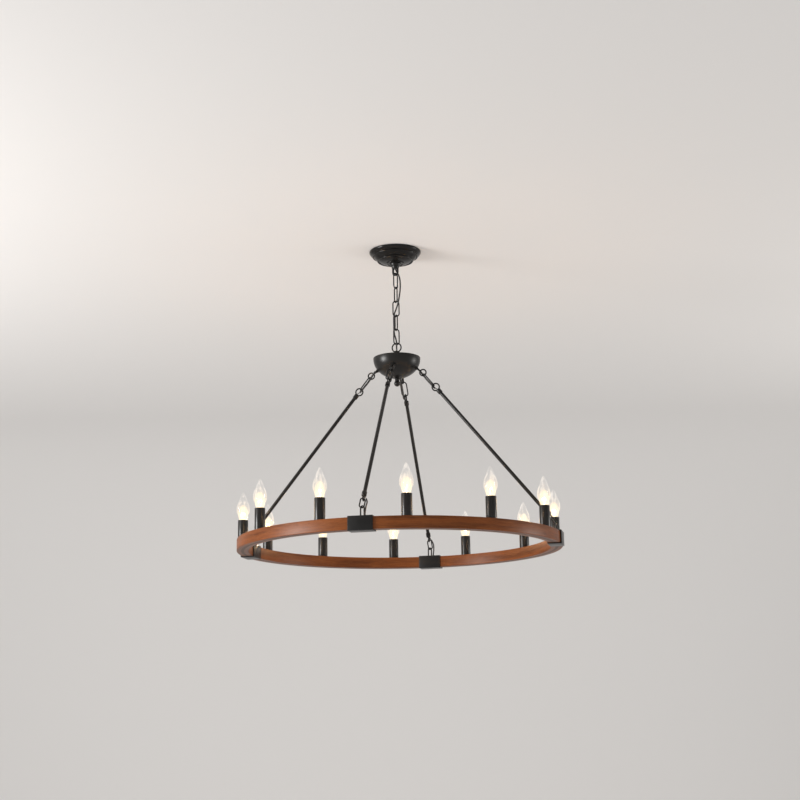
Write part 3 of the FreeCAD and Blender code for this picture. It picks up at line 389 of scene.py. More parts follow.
@dataclass(frozen=True)
class BraidedSleeve:
    """Woven cord: two sets of strands that cross, laid out on the cord's own length."""

    name: str = "black_braid"
    strands: float = 8.0
    pitch: float = 170.0
    colour: Colour = (0.017, 0.016, 0.016)

    def material(self) -> bpy.types.Material:
        """Build the node tree.

        Returns:
            The material.
        """
        g = Graph(self.name)
        parts = g.node("SeparateXYZ", {0: g.node("UVMap", uv_map="lay").outputs[0]})
        round_it = g.times(parts.outputs[0], self.strands * FULL_TURN)
        along = g.times(parts.outputs[1], self.pitch * FULL_TURN)
        right = g.sum_of("SINE", g.sum_of("ADD", round_it, along))
        left = g.sum_of("SINE", g.sum_of("SUBTRACT", round_it, along))
        strand_height_and_painted_shade = g.spread(g.sum_of("MAXIMUM", right, left), 0.0, 1.0)
        # The strands' crests are painted paler and the gaps between them darker: painted highlight
        # and painted shade on strands of one colour; the bump gives the real relief.
        pale = tuple(2.3 * part for part in self.colour)
        return g.surface(Base_Color=g.blend(strand_height_and_painted_shade, self.colour, pale), Roughness=0.78,
                         Normal=g.bump(strand_height_and_painted_shade, 0.6, 0.0003), Sheen_Weight=0.25, Sheen_Roughness=0.5)


@dataclass(frozen=True)
class PaleRoom:
    """Matt paint of the ceiling, wall and floor; from behind it is clear."""

    name: str = "pale_room_paint"
    colour: Colour = (0.712, 0.692, 0.674)

    def material(self) -> bpy.types.Material:
        """Build the node tree.

        Returns:
            The material.
        """
        g = Graph(self.name)
        paint = g.node("BsdfDiffuse", {"Color": self.colour}).outputs[0]
        clear = g.node("BsdfTransparent").outputs[0]
        back = g.node("NewGeometry").outputs["Backfacing"]
        mixed = g.node("MixShader", {0: back, 1: paint, 2: clear}).outputs[0]
        return g.close(mixed)


class Finish(Enum):
    """Every finish of the lamp, by the name that the makers use."""

    IRON = PowderCoat()
    # The canopy's coat: glossier than the rest, and its darker base colour is painted shade that
    # takes off the light the ceiling throws on it.
    SPUN_IRON_PAINTED_SHADE = PowderCoat("black_gloss_coat_painted_shade", (0.0022, 0.0018, 0.0015), (0.0048, 0.0040, 0.0034),
                           (0.14, 0.22), specular=0.26)
    LACQUER = SleeveLacquer()
    WOOD = StainedWood()
    GLASS = ClearGlass()
    FILAMENT = Glow("hot_filament", (1.0, 0.62, 0.26), 45.0)
    HALO = Halo()
    NICKEL = BareMetal("nickel_base", (0.62, 0.58, 0.50), 0.30)
    ZINC = BareMetal("zinc_plate", (0.60, 0.60, 0.58), 0.38)
    LEAD_WIRE = BareMetal("lead_wire", (0.55, 0.50, 0.44), 0.30)
    EARTH = PowderCoat("green_earth_screw", (0.015, 0.10, 0.03), (0.03, 0.16, 0.055))
    SOCKET = MouldedPlastic("black_socket_plastic", (0.022, 0.021, 0.020), 0.45)
    INSULATION = MouldedPlastic("black_insulation", (0.020, 0.019, 0.018), 0.42)
    GROOVE_COVER = MouldedPlastic("brown_groove_cover", (0.075, 0.034, 0.018), 0.55)
    CEMENT = MouldedPlastic("glass_stem", (0.72, 0.72, 0.70), 0.2)
    BRAID = BraidedSleeve()
    ROOM = PaleRoom()

    def material(self) -> bpy.types.Material:
        """The finish's material, made once."""
        kept = bpy.data.materials.get(self.value.name)
        return kept or self.value.material()


# ------------------------------------------------------------------ shaping

def arc_points(start: tuple[float, float], end: tuple[float, float], radius: float,
               steps: int) -> list[tuple[float, float]]:
    """Points after start on an arc to end.

    Args:
        start: the arc's first point.
        end: its last point.
        radius: positive where the arc turns left, negative where it turns right.
        steps: how many points to give.

    Returns:
        The points, without start and with end.
    """
    a = Vector(start)
    b = Vector(end)
    chord = b - a
    side = math.copysign(1.0, radius)
    rise = math.sqrt(max(radius * radius - chord.length_squared / 4, 0.0))
    centre = (a + b) / 2 + Vector((-chord.y, chord.x)).normalized() * rise * side
    first = math.atan2(a.y - centre.y, a.x - centre.x)
    turn = (math.atan2(b.y - centre.y, b.x - centre.x) - first) % FULL_TURN
    if side < 0:
        turn -= FULL_TURN
    size = abs(radius)
    return [(centre.x + size * math.cos(first + turn * n / steps),
             centre.y + size * math.sin(first + turn * n / steps)) for n in range(1, steps + 1)]


def outline(*corners: tuple[float, ...], steps: int = 12) -> list[tuple[float, float]]:
    """A run of points; a corner with a third number has an arc of that radius after it.

    Args:
        corners: each a (radius, height), with the radius of the arc after it as a third number.
        steps: points on each arc.

    Returns:
        The points in order.
    """
    points = [tuple(corners[0][:2])]
    for corner, following in zip(corners, corners[1:]):
        if len(corner) == 3:
            points += arc_points(corner[:2], following[:2], corner[2], steps)
        else:
            points.append(tuple(following[:2]))
    return points


def raised(profile: Profile, height: float) -> list[tuple[float, float]]:
    """A profile moved up by a height."""
    return [(radius, height + level) for radius, level in profile]


def turned(degrees: float) -> Matrix:
    """A turn about the vertical."""
    return Matrix.Rotation(math.radians(degrees), 4, "Z")


def moved(x: float = 0.0, y: float = 0.0, z: float = 0.0) -> Matrix:
    """A move."""
    return Matrix.Translation((x, y, z))


def standing(origin: Vector, z_axis: Vector, x_axis: Vector) -> Matrix:
    """A placement with the given Z and, as nearly as it can, the given X.

    Args:
        origin: where it stands.
        z_axis: the way its Z points.
        x_axis: the way its X leans.

    Returns:
        The placement.
    """
    z = z_axis.normalized()
    y = z.cross(x_axis).normalized()
    x = y.cross(z)
    basis = Matrix((x, y, z)).transposed().to_4x4()
    return Matrix.Translation(origin) @ basis


def points_in(made: Iterable[object]) -> list[bmesh.types.BMVert]:
    """The vertices among the elements that an operator made."""
    return [item for item in made if isinstance(item, bmesh.types.BMVert)]


def tidy(bm: Mesh) -> Mesh:
    """Merge doubled points and turn the faces outwards.

    Args:
        bm: the mesh.

    Returns:
        The same mesh.
    """
    bmesh.ops.remove_doubles(bm, verts=bm.verts[:], dist=0.002)
    bmesh.ops.dissolve_degenerate(bm, dist=0.0005, edges=bm.edges[:])
    bmesh.ops.recalc_face_normals(bm, faces=bm.faces[:])
    return bm


def soften(bm: Mesh, geom: Sequence[object], offset: float, affect: str, segments: int,
           clamp: bool = True) -> None:
    """Round off corners (VERTICES) or edges (EDGES)."""
    bmesh.ops.bevel(bm, geom=geom, offset=offset, offset_type="OFFSET", segments=segments,
                    profile=0.5, affect=affect, material=-1, clamp_overlap=clamp)


def lathe(profile: Profile, closed: bool = True, rounding: float = 0.0, segments: int = 64,
          place: Matrix | None = None) -> Mesh:
    """Spin an outline in (radius, height) about the vertical.

    Args:
        profile: the outline's points.
        closed: True where the last point joins the first.
        rounding: how much each corner is rounded off.
        segments: steps round.
        place: where it goes.

    Returns:
        The turned mesh.
    """
    bm = bmesh.new()
    verts = [bm.verts.new((r, 0.0, z)) for r, z in profile]
    pairs = list(zip(verts, verts[1:])) + ([(verts[-1], verts[0])] if closed else [])
    for pair in pairs:
        bm.edges.new(pair)
    if rounding:
        corners = [vert for vert in verts if len(vert.link_edges) == 2 and vert.co.x > 1e-6]
        soften(bm, corners, rounding, "VERTICES", 3)
    bmesh.ops.spin(bm, geom=bm.verts[:] + bm.edges[:], cent=(0, 0, 0), axis=(0, 0, 1),
                   angle=FULL_TURN, steps=segments, use_merge=True)
    tidy(bm)
    if place is not None:
        bm.transform(place)
    return bm


def ring(radius: float, wire: float, place: Matrix, segments: int = 40) -> Mesh:
    """A ring of round wire in the placement's XZ plane.

    Args:
        radius: of its centre line.
        wire: the wire's radius.
        place: where it goes.
        segments: steps round.

    Returns:
        The ring's mesh.
    """
    bm = bmesh.new()
    bmesh.ops.create_circle(bm, segments=14, radius=wire, matrix=moved(radius, 0, 0))
    bmesh.ops.spin(bm, geom=bm.verts[:] + bm.edges[:], cent=(0, 0, 0), axis=(0, 1, 0),
                   angle=FULL_TURN, steps=segments, use_merge=True)
    bm.transform(place)
    return tidy(bm)


def extrude_ring(bm: Mesh, edges: Edges, by: Matrix) -> Edges:
    """Draw a ring of edges out to where a placement brings it and give the new ring.

    Args:
        bm: the mesh.
        edges: the ring that is drawn out.
        by: what moves the new ring.

    Returns:
        The new ring's edges.
    """
    made = bmesh.ops.extrude_edge_only(bm, edges=edges)["geom"]
    fresh = points_in(made)
    bmesh.ops.transform(bm, matrix=by, verts=fresh)
    return [item for item in made if isinstance(item, bmesh.types.BMEdge)
            and all(vert in fresh for vert in item.verts)]


def bend_ring(bm: Mesh, edges: Edges, height: float) -> Edges:
    """Draw a ring of edges through half a turn about a line along Y and give the new ring.

    Args:
        bm: the mesh.
        edges: the ring that is drawn out.
        height: of the line that it bends about.

    Returns:
        The new ring's edges.
    """
    made = bmesh.ops.spin(bm, geom=edges, cent=(0, 0, height), axis=(0, -1, 0), angle=math.pi,
                          steps=BEND_STEPS)
    return [e for e in made["geom_last"] if isinstance(e, bmesh.types.BMEdge)]


def oval_link(length: float, width: float, wire: float, place: Matrix) -> Mesh:
    """An oval chain link, long along the placement's Z and wide along its X.

    Args:
        length: over all.
        width: over all.
        wire: the wire's radius.
        place: where it goes.

    Returns:
        The link's mesh.
    """
    bend = width / 2 - wire
    straight = length / 2 - width / 2
    bm = bmesh.new()
    bmesh.ops.create_circle(bm, segments=16, radius=wire, matrix=moved(bend, 0, -straight))
    edges = extrude_ring(bm, bm.edges[:], moved(z=2 * straight))
    edges = bend_ring(bm, edges, straight)
    edges = extrude_ring(bm, edges, moved(z=-2 * straight))
    bend_ring(bm, edges, -straight)
    bm.transform(place)
    return tidy(bm)


def staple(radius: float, legs: float, wire: float, place: Matrix) -> Mesh:
    """A U of round wire with its bend up, in the placement's XZ plane.

    Args:
        radius: of the bend's centre line.
        legs: the legs' length.
        wire: the wire's radius.
        place: where it goes.

    Returns:
        The staple's mesh.
    """
    bm = bmesh.new()
    bmesh.ops.create_circle(bm, segments=16, radius=wire, cap_ends=True,
                            matrix=moved(radius, 0, -legs))
    edges = extrude_ring(bm, bm.edges[:], moved(z=legs))
    edges = bend_ring(bm, edges, 0.0)
    edges = extrude_ring(bm, edges, moved(z=-legs))
    bmesh.ops.contextual_create(bm, geom=edges)
    bm.transform(place)
    return tidy(bm)


def joined(parts: Iterable[Mesh]) -> Mesh:
    """Several meshes as one.

    Args:
        parts: the meshes, which are used up.

    Returns:
        The new mesh.
    """
    whole = bmesh.new()
    for part in parts:
        held = bpy.data.meshes.new("held")
        part.to_mesh(held)
        whole.from_mesh(held)
        part.free()
        bpy.data.meshes.remove(held)
    return whole


def repeated(part: Mesh, count: int, first: float = 0.0) -> Mesh:
    """A mesh with its copies at equal turns about the vertical, the first one turned by first.

    Args:
        part: the mesh.
        count: how many there are in all.
        first: the first one's turn in degrees.

    Returns:
        The same mesh, now with its copies.
    """
    part.transform(turned(first))
    seed = part.verts[:] + part.edges[:] + part.faces[:]
    for number in range(1, count):
        copy = bmesh.ops.duplicate(part, geom=seed)["geom"]
        bmesh.ops.rotate(part, cent=(0, 0, 0), verts=points_in(copy),
                         matrix=Matrix.Rotation(FULL_TURN * number / count, 3, "Z"))
    return part


def put(name: str, data: bpy.types.ID) -> bpy.types.Object:
    """A new object in the scene.

    Args:
        name: the object's name.
        data: what it holds.

    Returns:
        The object.
    """
    made = bpy.data.objects.new(name, data)
    bpy.context.scene.collection.objects.link(made)
    return made


def along_curve(route: Sequence[Sequence[float]], per_run: int = 12) -> list[Vector]:
    """Points read from the smooth spline of a route, in the route's own unit.

    Args:
        route: the spline's control points.
        per_run: points from one of them to the next.

    Returns:
        The points, each further than SHORTEST_RUN from the one before.
    """
    curve = bpy.data.curves.new("route", "CURVE")
    curve.dimensions = "3D"
    spline = curve.splines.new("NURBS")
    spline.points.add(len(route) - 1)
    for point, place in zip(spline.points, route):
        point.co = (*place, 1.0)
    spline.order_u = 3
    spline.use_endpoint_u = True
    spline.resolution_u = per_run
    holder = put("route", curve)
    bpy.context.view_layer.update()
    shown = holder.evaluated_get(bpy.context.evaluated_depsgraph_get())
    mesh = bpy.data.meshes.new_from_object(shown)
    points = [vert.co.copy() for vert in mesh.vertices]
    bpy.data.objects.remove(holder)
    bpy.data.curves.remove(curve)
    bpy.data.meshes.remove(mesh)
    kept = points[:1]
    for point in points[1:]:
        if (point - kept[-1]).length > SHORTEST_RUN:
            kept.append(point)
    return kept


def hose(points: Sequence[Vector], radius: float, sides: int = 12, start: float = 0.0) -> Mesh:
    """A round cord along points, with its lay written to the UV map "lay".

    Args:
        points: the centre line.
        radius: of the cord.
        sides: faces round it.
        start: length of cord before the first point.

    Returns:
        The cord's mesh, closed at both ends.
    """
    bm = bmesh.new()
    reach = bm.verts.layers.float.new("reach")
    turn = bm.verts.layers.float.new("turn")
    side = (points[1] - points[0]).normalized().orthogonal().normalized()
    frames = []
    length = start
    for before, point, after in zip([points[0], *points], points, [*points[1:], points[-1]]):
        heading = (after - before).normalized()
        side = (side - heading * side.dot(heading)).normalized()
        length += (point - before).length
        frames.append((standing(point, heading, side), length))
    bmesh.ops.create_circle(bm, segments=sides, radius=radius, matrix=frames[0][0])
    for number, vert in enumerate(bm.verts):
        vert[turn] = number / sides
        vert[reach] = frames[0][1]
    edges = bm.edges[:]
    for (before, _), (after, here) in zip(frames, frames[1:]):
        edges = extrude_ring(bm, edges, after @ before.inverted())
        for vert in {vert for edge in edges for vert in edge.verts}:
            vert[reach] = here
    lay = bm.loops.layers.uv.new("lay")
    for face in bm.faces:
        turns = [loop.vert[turn] for loop in face.loops]
        wraps = max(turns) - min(turns) > 0.5
        for loop in face.loops:
            here = loop.vert[turn]
            loop[lay].uv = (here + 1.0 if wraps and here < 0.5 else here,
                            loop.vert[reach] * METRES_PER_MM)
    bmesh.ops.holes_fill(bm, edges=[e for e in bm.edges if e.is_boundary], sides=0)
    bmesh.ops.recalc_face_normals(bm, faces=bm.faces[:])
    return bm


def make_piece(name: str, bm: Mesh, finish: Finish) -> bpy.types.Object:
    """Turn a mesh in millimetres into a finished object in metres.

    Args:
        name: the piece's name.
        bm: its mesh, which is used up.
        finish: what it is finished in.

    Returns:
        The object, at the origin.
    """
    bm.transform(Matrix.Scale(METRES_PER_MM, 4))
    for face in bm.faces:
        face.smooth = True
    for edge in bm.edges:
        edge.smooth = len(edge.link_faces) == 2 and edge.calc_face_angle(0.0) < SHARP_CREASE
    mesh = bpy.data.meshes.new(name)
    bm.to_mesh(mesh)
    bm.free()
    mesh.materials.append(finish.material())
    return put(name, mesh)


def add(name: str, bm: Mesh, finish: Finish, body: str, slot: str, *nodes: str) -> None:
    """Finish a piece that rides on a body and stands for nodes.

    Args:
        name: the piece's name.
        bm: its mesh in millimetres, which is used up.
        finish: what it is finished in.
        body: the body that it rides on.
        slot: not used.
        nodes: the nodes that it stands for.
    """
    piece = make_piece(name, bm, finish)
    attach(piece, body)
    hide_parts(*nodes)
    LOG.info("%-24s %6d faces on %s", name, len(piece.data.polygons), body)


def add_bending(name: str, bm: Mesh, finish: Finish, bodies: tuple[str, str],
                ends: tuple[Vector, Vector], slot: str, *nodes: str) -> None:
    """Finish a piece that lies between two bodies; it stays where it is made and rides on neither.

    Args:
        name: the piece's name.
        bm: its mesh in millimetres, which is used up.
        finish: what it is finished in.
        bodies: the upper body and the lower one.
        ends: not used.
        slot: not used.
        nodes: the nodes that it stands for.
    """
    piece = make_piece(name, bm, finish)
    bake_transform(piece)
    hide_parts(*nodes)
    LOG.info("%-24s bends between %s and %s", name, *bodies)


def dress_nodes(finish: Finish, *nodes: str) -> None:
    """Give nodes of the frame their finish.

    Args:
        finish: what they are finished in.
        nodes: their names.
    """
    for node in nodes:
        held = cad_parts[node]
        held.data.materials.clear()
        held.data.materials.append(finish.material())
        LOG.info("%-24s keeps its solid", node)


# ------------------------------------------------------------------ sub-assemblies

@dataclass
class Levels:
    """Heights and lines that the sub-assemblies share, worked out from the main sizes."""

    loop_bottom: float = -70.4
    link_length: float = 50.0
    link_width: float = 21.5
    link_wire: float = 1.8
    link_gap: float = 0.15
    ring_radius: float = 13.5
    ring_wire: float = 2.0
    bowl_rim: float = -325.2
    bowl_radius: float = 68.3
    bowl_depth: float = 58.5
    side_radius: float = 52.0
    bolt_eye: Vector = field(default_factory=lambda: Vector((76.5, 0.0, -372.0)))
    rim_top: float = -851.5
    rim_height: float = 32.3
    rim_width: float = 32.8
    rim_middle: float = 440.6
    clamp_wall: float = 2.5
    clamp_fit: float = 0.25
    hook_height: float = 25.3

    @property
    def filament_level(self) -> float:
        """The height of the bulbs' filaments."""
        return self.rim_top + Candles.floor + Candles.filament_height

    @property
    def rim_bottom(self) -> float:
        """The rim's underside."""
        return self.rim_top - self.rim_height

    @property
    def clamp_top(self) -> float:
        """The top of a clamp's plate."""
        return self.rim_top + self.clamp_fit + self.clamp_wall

    @property
    def hook(self) -> Vector:
        """Where a rod's pull meets the clamp's staple."""
        return Vector((self.rim_middle, 0.0, self.clamp_top + self.hook_height))

    @property
    def hang(self) -> Vector:
        """The way from a bolt's eye to the staple."""
        return (self.hook - self.bolt_eye).normalized()

    @property
    def underside(self) -> Vector:
        """Square to the rod, down and towards the lamp's axis."""
        return Y_AXIS.cross(self.hang)

    @property
    def bolt_line(self) -> Vector:
        """The way out of the bowl along an eye bolt."""
        return (self.bolt_eye - self.side_centre).normalized()

    @property
    def side_centre(self) -> Vector:
        """The centre of the bowl's side arc."""
        return Vector((self.bowl_radius - self.side_radius, 0.0, self.bowl_rim))

    def along(self, origin: Vector, distance: float, across: float = 0.0,
              below: float = 0.0) -> Vector:
        """A point by its distance along the rod's line, sideways and under the rod."""
        return origin + self.hang * distance + Y_AXIS * across + self.underside * below


LEVELS = Levels()


@dataclass
class Canopy:
    """The ceiling canopy with its fixing, collar and loop."""

    radius: float = 75.8
    depth: float = 35.5
    wall: float = 1.2
    lip: float = 3.5
    beads: tuple[float, float, float] = (65.5, 51.5, 24.0)
    step_shares: tuple[float, float] = (0.37, 0.74)
    arcs: tuple[float, float, float] = (22.0, 34.0, 60.0)
    hole: float = 12.3
    roll: float = 2.1
    roll_drop: float = 0.5
    loop_turn: float = -20.0
    loop_radius: float = 8.0
    loop_legs: float = 12.9
    loop_wire: float = 3.0
    knurl: tuple[float, float] = (0.12, -0.18)
    collar_form: Profile = ((11.95, -7.5), (14.0, -7.5), (16.0, -2.0), (16.0, 0.0), (11.95, 0.0))
    neck_form: Profile = ((3.6, -51.0), (9.6, -51.0), (11.9, -44.5), (11.9, -30.0), (4.9, -30.0),
                          (4.9, -38.3), (3.6, -38.3))

    def shell(self) -> Mesh:
        """The spun cover with a roll at each step.

        Returns:
            The cover's mesh.
        """
        wall, lip, bottom = self.wall, -self.lip, -self.depth
        one, two, three = self.beads
        first, second, third = self.arcs
        high, middle = (-self.depth * share for share in self.step_shares)
        low = bottom + wall
        outer = outline(
            (self.radius, 0), (self.radius, lip, -first), (one, high), (one - wall, high, -second),
            (two, middle), (two - wall, middle, -third), (three, low), (three - wall, bottom),
            (self.hole, bottom))
        inner = outline(
            (self.hole, low), (three - 2 * wall, low), (three - wall, low + wall, third),
            (two - 2 * wall, middle + wall), (two - wall, middle + wall, second),
            (one - 2 * wall, high + wall), (one - wall, high + wall, first),
            (self.radius - wall, lip), (self.radius - wall, 0))
        parts = [lathe(outer + inner, segments=96)]
        turns = [FULL_TURN * n / 12 for n in range(12)]
        for radius, height in ((one, high), (two, middle), (three, low)):
            parts.append(lathe([(radius + self.roll * math.cos(turn),
                                 height - self.roll_drop + self.roll * math.sin(turn))
                                for turn in turns], segments=96))
        return joined(parts)

    def collar(self) -> Mesh:
        """The knurled ring that holds the canopy up.

        Returns:
            The ring's mesh.
        """
        bm = lathe(raised(self.collar_form, -self.depth), rounding=0.4, segments=72)
        grip = [face for face in bm.faces if face.calc_center_median().xy.length > 15.2
                and abs(face.normal.z) < 0.3]
        thickness, depth = self.knurl
        bmesh.ops.inset_individual(bm, faces=grip, thickness=thickness, depth=depth)
        return bm

    def loop(self) -> Mesh:
        """The threaded neck and the U of round wire below it.

        Returns:
            The mesh of both.
        """
        neck = lathe(self.neck_form, rounding=0.35)
        flip = turned(self.loop_turn) @ Matrix.Rotation(math.pi, 4, "X")
        bend = staple(self.loop_radius, self.loop_legs, self.loop_wire,
                      moved(z=LEVELS.loop_bottom + self.loop_radius) @ flip)
        return joined((neck, bend))

    def build(self) -> None:
        """Make and fit the pieces."""
        for name, bm, finish, body, node in (
                ("canopy_cover_shell", self.shell(), Finish.SPUN_IRON_PAINTED_SHADE, "canopy_cover", "canopy"),
                ("knurled_collar", self.collar(), Finish.IRON, "canopy_cover", "screw_collar"),
                ("neck_and_loop", self.loop(), Finish.IRON, "ceiling_mount", "canopy_loop")):
            add(name, bm, finish, body, "black_metal", node)
        dress_nodes(Finish.ZINC, "mounting_bar", "hanging_nipple", "nipple_locknuts")
        dress_nodes(Finish.EARTH, "ground_screw")


@dataclass
class Chain:
    """The links and the cord that runs down beside them."""

    turns: tuple[float, ...] = (65.0, -51.5, 20.0, -55.5, 42.5)
    cord_radius: float = 2.25
    cord_head: float = 20.0
    route: tuple[Point, ...] = (
        (0.4, 0.1, -1.0), (-0.5, 0.2, -22.0), (0.4, -0.2, -38.0), (0.0, 0.0, -51.0),
        (1.6, 4.3, -57.5), (5.1, 8.6, -63.0), (8.9, 9.8, -72.0), (11.6, 8.7, -85.0),
        (12.6, 6.9, -101.0), (12.1, 4.7, -118.0), (10.5, 1.8, -134.0), (8.8, -1.6, -149.0),
        (6.0, -3.8, -163.0), (0.1, -0.3, -176.0), (-5.6, 2.6, -187.0), (-7.8, 2.1, -199.0),
        (-7.5, 1.4, -216.0), (-7.6, 1.7, -235.0), (-6.6, 0.8, -250.0), (-2.1, -2.0, -263.0),
        (1.1, -6.2, -274.0), (1.4, -6.3, -284.0), (0.6, -2.9, -294.0), (0.0, 0.0, -304.0),
        (0.2, 0.1, -320.0), (0.0, 0.0, -338.0))

    @property
    def pitch(self) -> float:
        """The step from link to link."""
        return LEVELS.link_length - 4 * LEVELS.link_wire - LEVELS.link_gap

    def centre(self, number: int) -> float:
        """The height of a link's middle."""
        top = LEVELS.loop_bottom + Canopy.loop_wire + LEVELS.link_wire + LEVELS.link_gap
        return top - LEVELS.link_length / 2 + LEVELS.link_wire - self.pitch * number

    def links(self) -> None:
        """Make and fit the links."""
        for number, turn in enumerate(self.turns):
            place = moved(z=self.centre(number)) @ turned(turn)
            bm = oval_link(LEVELS.link_length, LEVELS.link_width, LEVELS.link_wire, place)
            tag = number + 1
            add("chain_oval_%d" % tag, bm, Finish.IRON, "link_%d" % tag, "black_metal",
                "chain_link_%d" % tag)

    def cord(self) -> None:
        """Make the cord in lengths, cut at the middles of the links."""
        points = along_curve(self.route)
        centres = [self.centre(number) for number in range(len(self.turns))]
        cuts = [centres[0] + self.pitch / 2 + self.cord_head, *centres, centres[-1] - self.pitch]
        bodies = ["ceiling_mount", *("link_%d" % (n + 1) for n in range(len(self.turns))), "bowl"]
        length, first = 0.0, 0
        for number, pair in enumerate(zip(bodies, bodies[1:])):
            top, bottom = cuts[number:number + 2]
            last = len(points) - 1
            if pair[1] != "bowl":
                last = next(n for n, point in enumerate(points) if point.z < bottom)
            run = points[first:last + 1]
            add_bending("supply_cord_%d" % (number + 1), hose(run, self.cord_radius, 14, length),
                        Finish.BRAID, pair, (Vector((0, 0, top)), Vector((0, 0, bottom))),
                        "cord_black", "supply_cord")
            length += sum((b - a).length for a, b in zip(run, run[1:]))
            first = last

    def build(self) -> None:
        """Make and fit the pieces."""
        self.links()
        self.cord()


@dataclass
class Bowl:
    """The bowl that gathers the rods, with its cover, ring, stem, finial and eye bolts."""

    wall: float = 1.5
    lid: float = 1.5
    stem_hole: float = 5.0
    boss_height: float = 20.7
    ring_sink: float = 2.5
    ring_turn: float = -6.0
    ball: float = 9.0
    ball_neck: float = 6.2
    ball_drop: float = 15.4
    eye_radius: float = 9.2
    eye_wire: float = 2.0
    bolt_gap: float = 0.1
    bolt_reach: float = 7.0
    neck_form: Profile = ((7.0, -3.1), (7.0, -0.6), (6.5, -0.1), (4.9, -0.1), (4.9, -7.1),
                          (0.0, -7.1))

    def shell(self) -> Mesh:
        """The half round bowl with a rolled rim.

        Returns:
            The bowl's mesh.
        """
        lv = LEVELS
        reach = lv.bowl_radius - lv.side_radius
        depth = lv.bowl_depth
        base = (reach ** 2 + depth ** 2 - lv.side_radius ** 2) / (2 * (depth - lv.side_radius))
        centre = lv.bowl_rim - depth + base
        hole = self.stem_hole

        def joint(wall: float) -> tuple[float, float]:
            """Where the side's arc meets the bottom's, at a depth under the face."""
            stretch = (lv.side_radius - wall) / (base - lv.side_radius)
            return reach * (1 + stretch), lv.bowl_rim + (lv.bowl_rim - centre) * stretch

        low = centre - math.sqrt(base ** 2 - hole ** 2)
        inner_low = centre - math.sqrt((base - self.wall) ** 2 - hole ** 2)
        outer = outline((hole, low, base), (*joint(0.0), lv.side_radius),
                        (lv.bowl_radius, lv.bowl_rim), steps=20)
        inner = outline((lv.bowl_radius - self.wall, lv.bowl_rim, -(lv.side_radius - self.wall)),
                        (*joint(self.wall), -(base - self.wall)), (hole, inner_low), steps=20)
        return lathe(outer + inner, segments=96)

    def cover(self) -> Mesh:
        """The disc on the bowl.

        Returns:
            The disc's mesh.
        """
        rim = LEVELS.bowl_rim
        hole, radius = self.stem_hole, LEVELS.bowl_radius
        return lathe(((hole, rim), (radius, rim), (radius, rim + self.lid), (hole, rim + self.lid)),
                     rounding=0.45, segments=96)

    def ring_and_boss(self) -> Mesh:
        """The ring that the chain hangs in and its boss.

        Returns:
            The mesh of both.
        """
        top = LEVELS.bowl_rim + self.lid
        boss = lathe(((3.4, top + 12.42), (4.9, top + 12.42), (4.9, top), (8.5, top),
                      (8.5, top + self.boss_height), (3.4, top + self.boss_height)), rounding=0.5)
        centre = top + self.boss_height + LEVELS.ring_radius - self.ring_sink
        place = moved(z=centre) @ turned(self.ring_turn)
        eye = ring(LEVELS.ring_radius, LEVELS.ring_wire, place, 56)
        return joined((boss, eye))

    def finial(self) -> Mesh:
        """The ball under the bowl.

        Returns:
            The ball's mesh.
        """
        bottom = LEVELS.bowl_rim - LEVELS.bowl_depth
        centre = bottom - self.ball_drop
        neck = self.ball_neck
        meet = centre + math.sqrt(self.ball ** 2 - neck ** 2)
        profile = outline((0.0, centre - self.ball, self.ball), (self.ball, centre, self.ball),
                          (neck, meet), (neck, bottom - 3.6), *raised(self.neck_form, bottom),
                          steps=16)
        return lathe(profile, closed=False, segments=56)

    def bolts(self) -> Mesh:
        """The four eye bolts.

        Returns:
            The mesh of all four.
        """
        lv = LEVELS
        outside = (lv.bolt_eye - lv.side_centre).length - lv.side_radius - self.bolt_gap
        inside = outside + self.bolt_reach
        place = standing(lv.bolt_eye, -lv.bolt_line, Y_AXIS)
        eye = ring(self.eye_radius, self.eye_wire, Matrix.Translation(lv.bolt_eye), 44)
        shank = lathe(((0.0, self.eye_radius), (self.eye_wire, self.eye_radius),
                       (3.0, outside - 5.0), (5.5, outside - 1.5), (5.5, outside), (3.0, outside),
                       (3.0, inside), (0.0, inside)), closed=False, rounding=0.3, segments=36,
                      place=place)
        return repeated(joined((eye, shank)), ROD_COUNT)

    def build(self) -> None:
        """Make and fit the pieces."""
        for name, bm, node in (("bowl_form", self.shell(), "bowl_shell"),
                               ("bowl_lid", self.cover(), "bowl_cover"),
                               ("chain_ring_and_boss", self.ring_and_boss(), "bowl_loop"),
                               ("ball_end", self.finial(), "ball_finial"),
                               ("bowl_eye_bolts", self.bolts(), "eye_bolts")):
            add(name, bm, Finish.IRON, "bowl", "black_metal", node)
        dress_nodes(Finish.ZINC, "centre_stem", "stem_nuts", "eye_bolt_nuts")


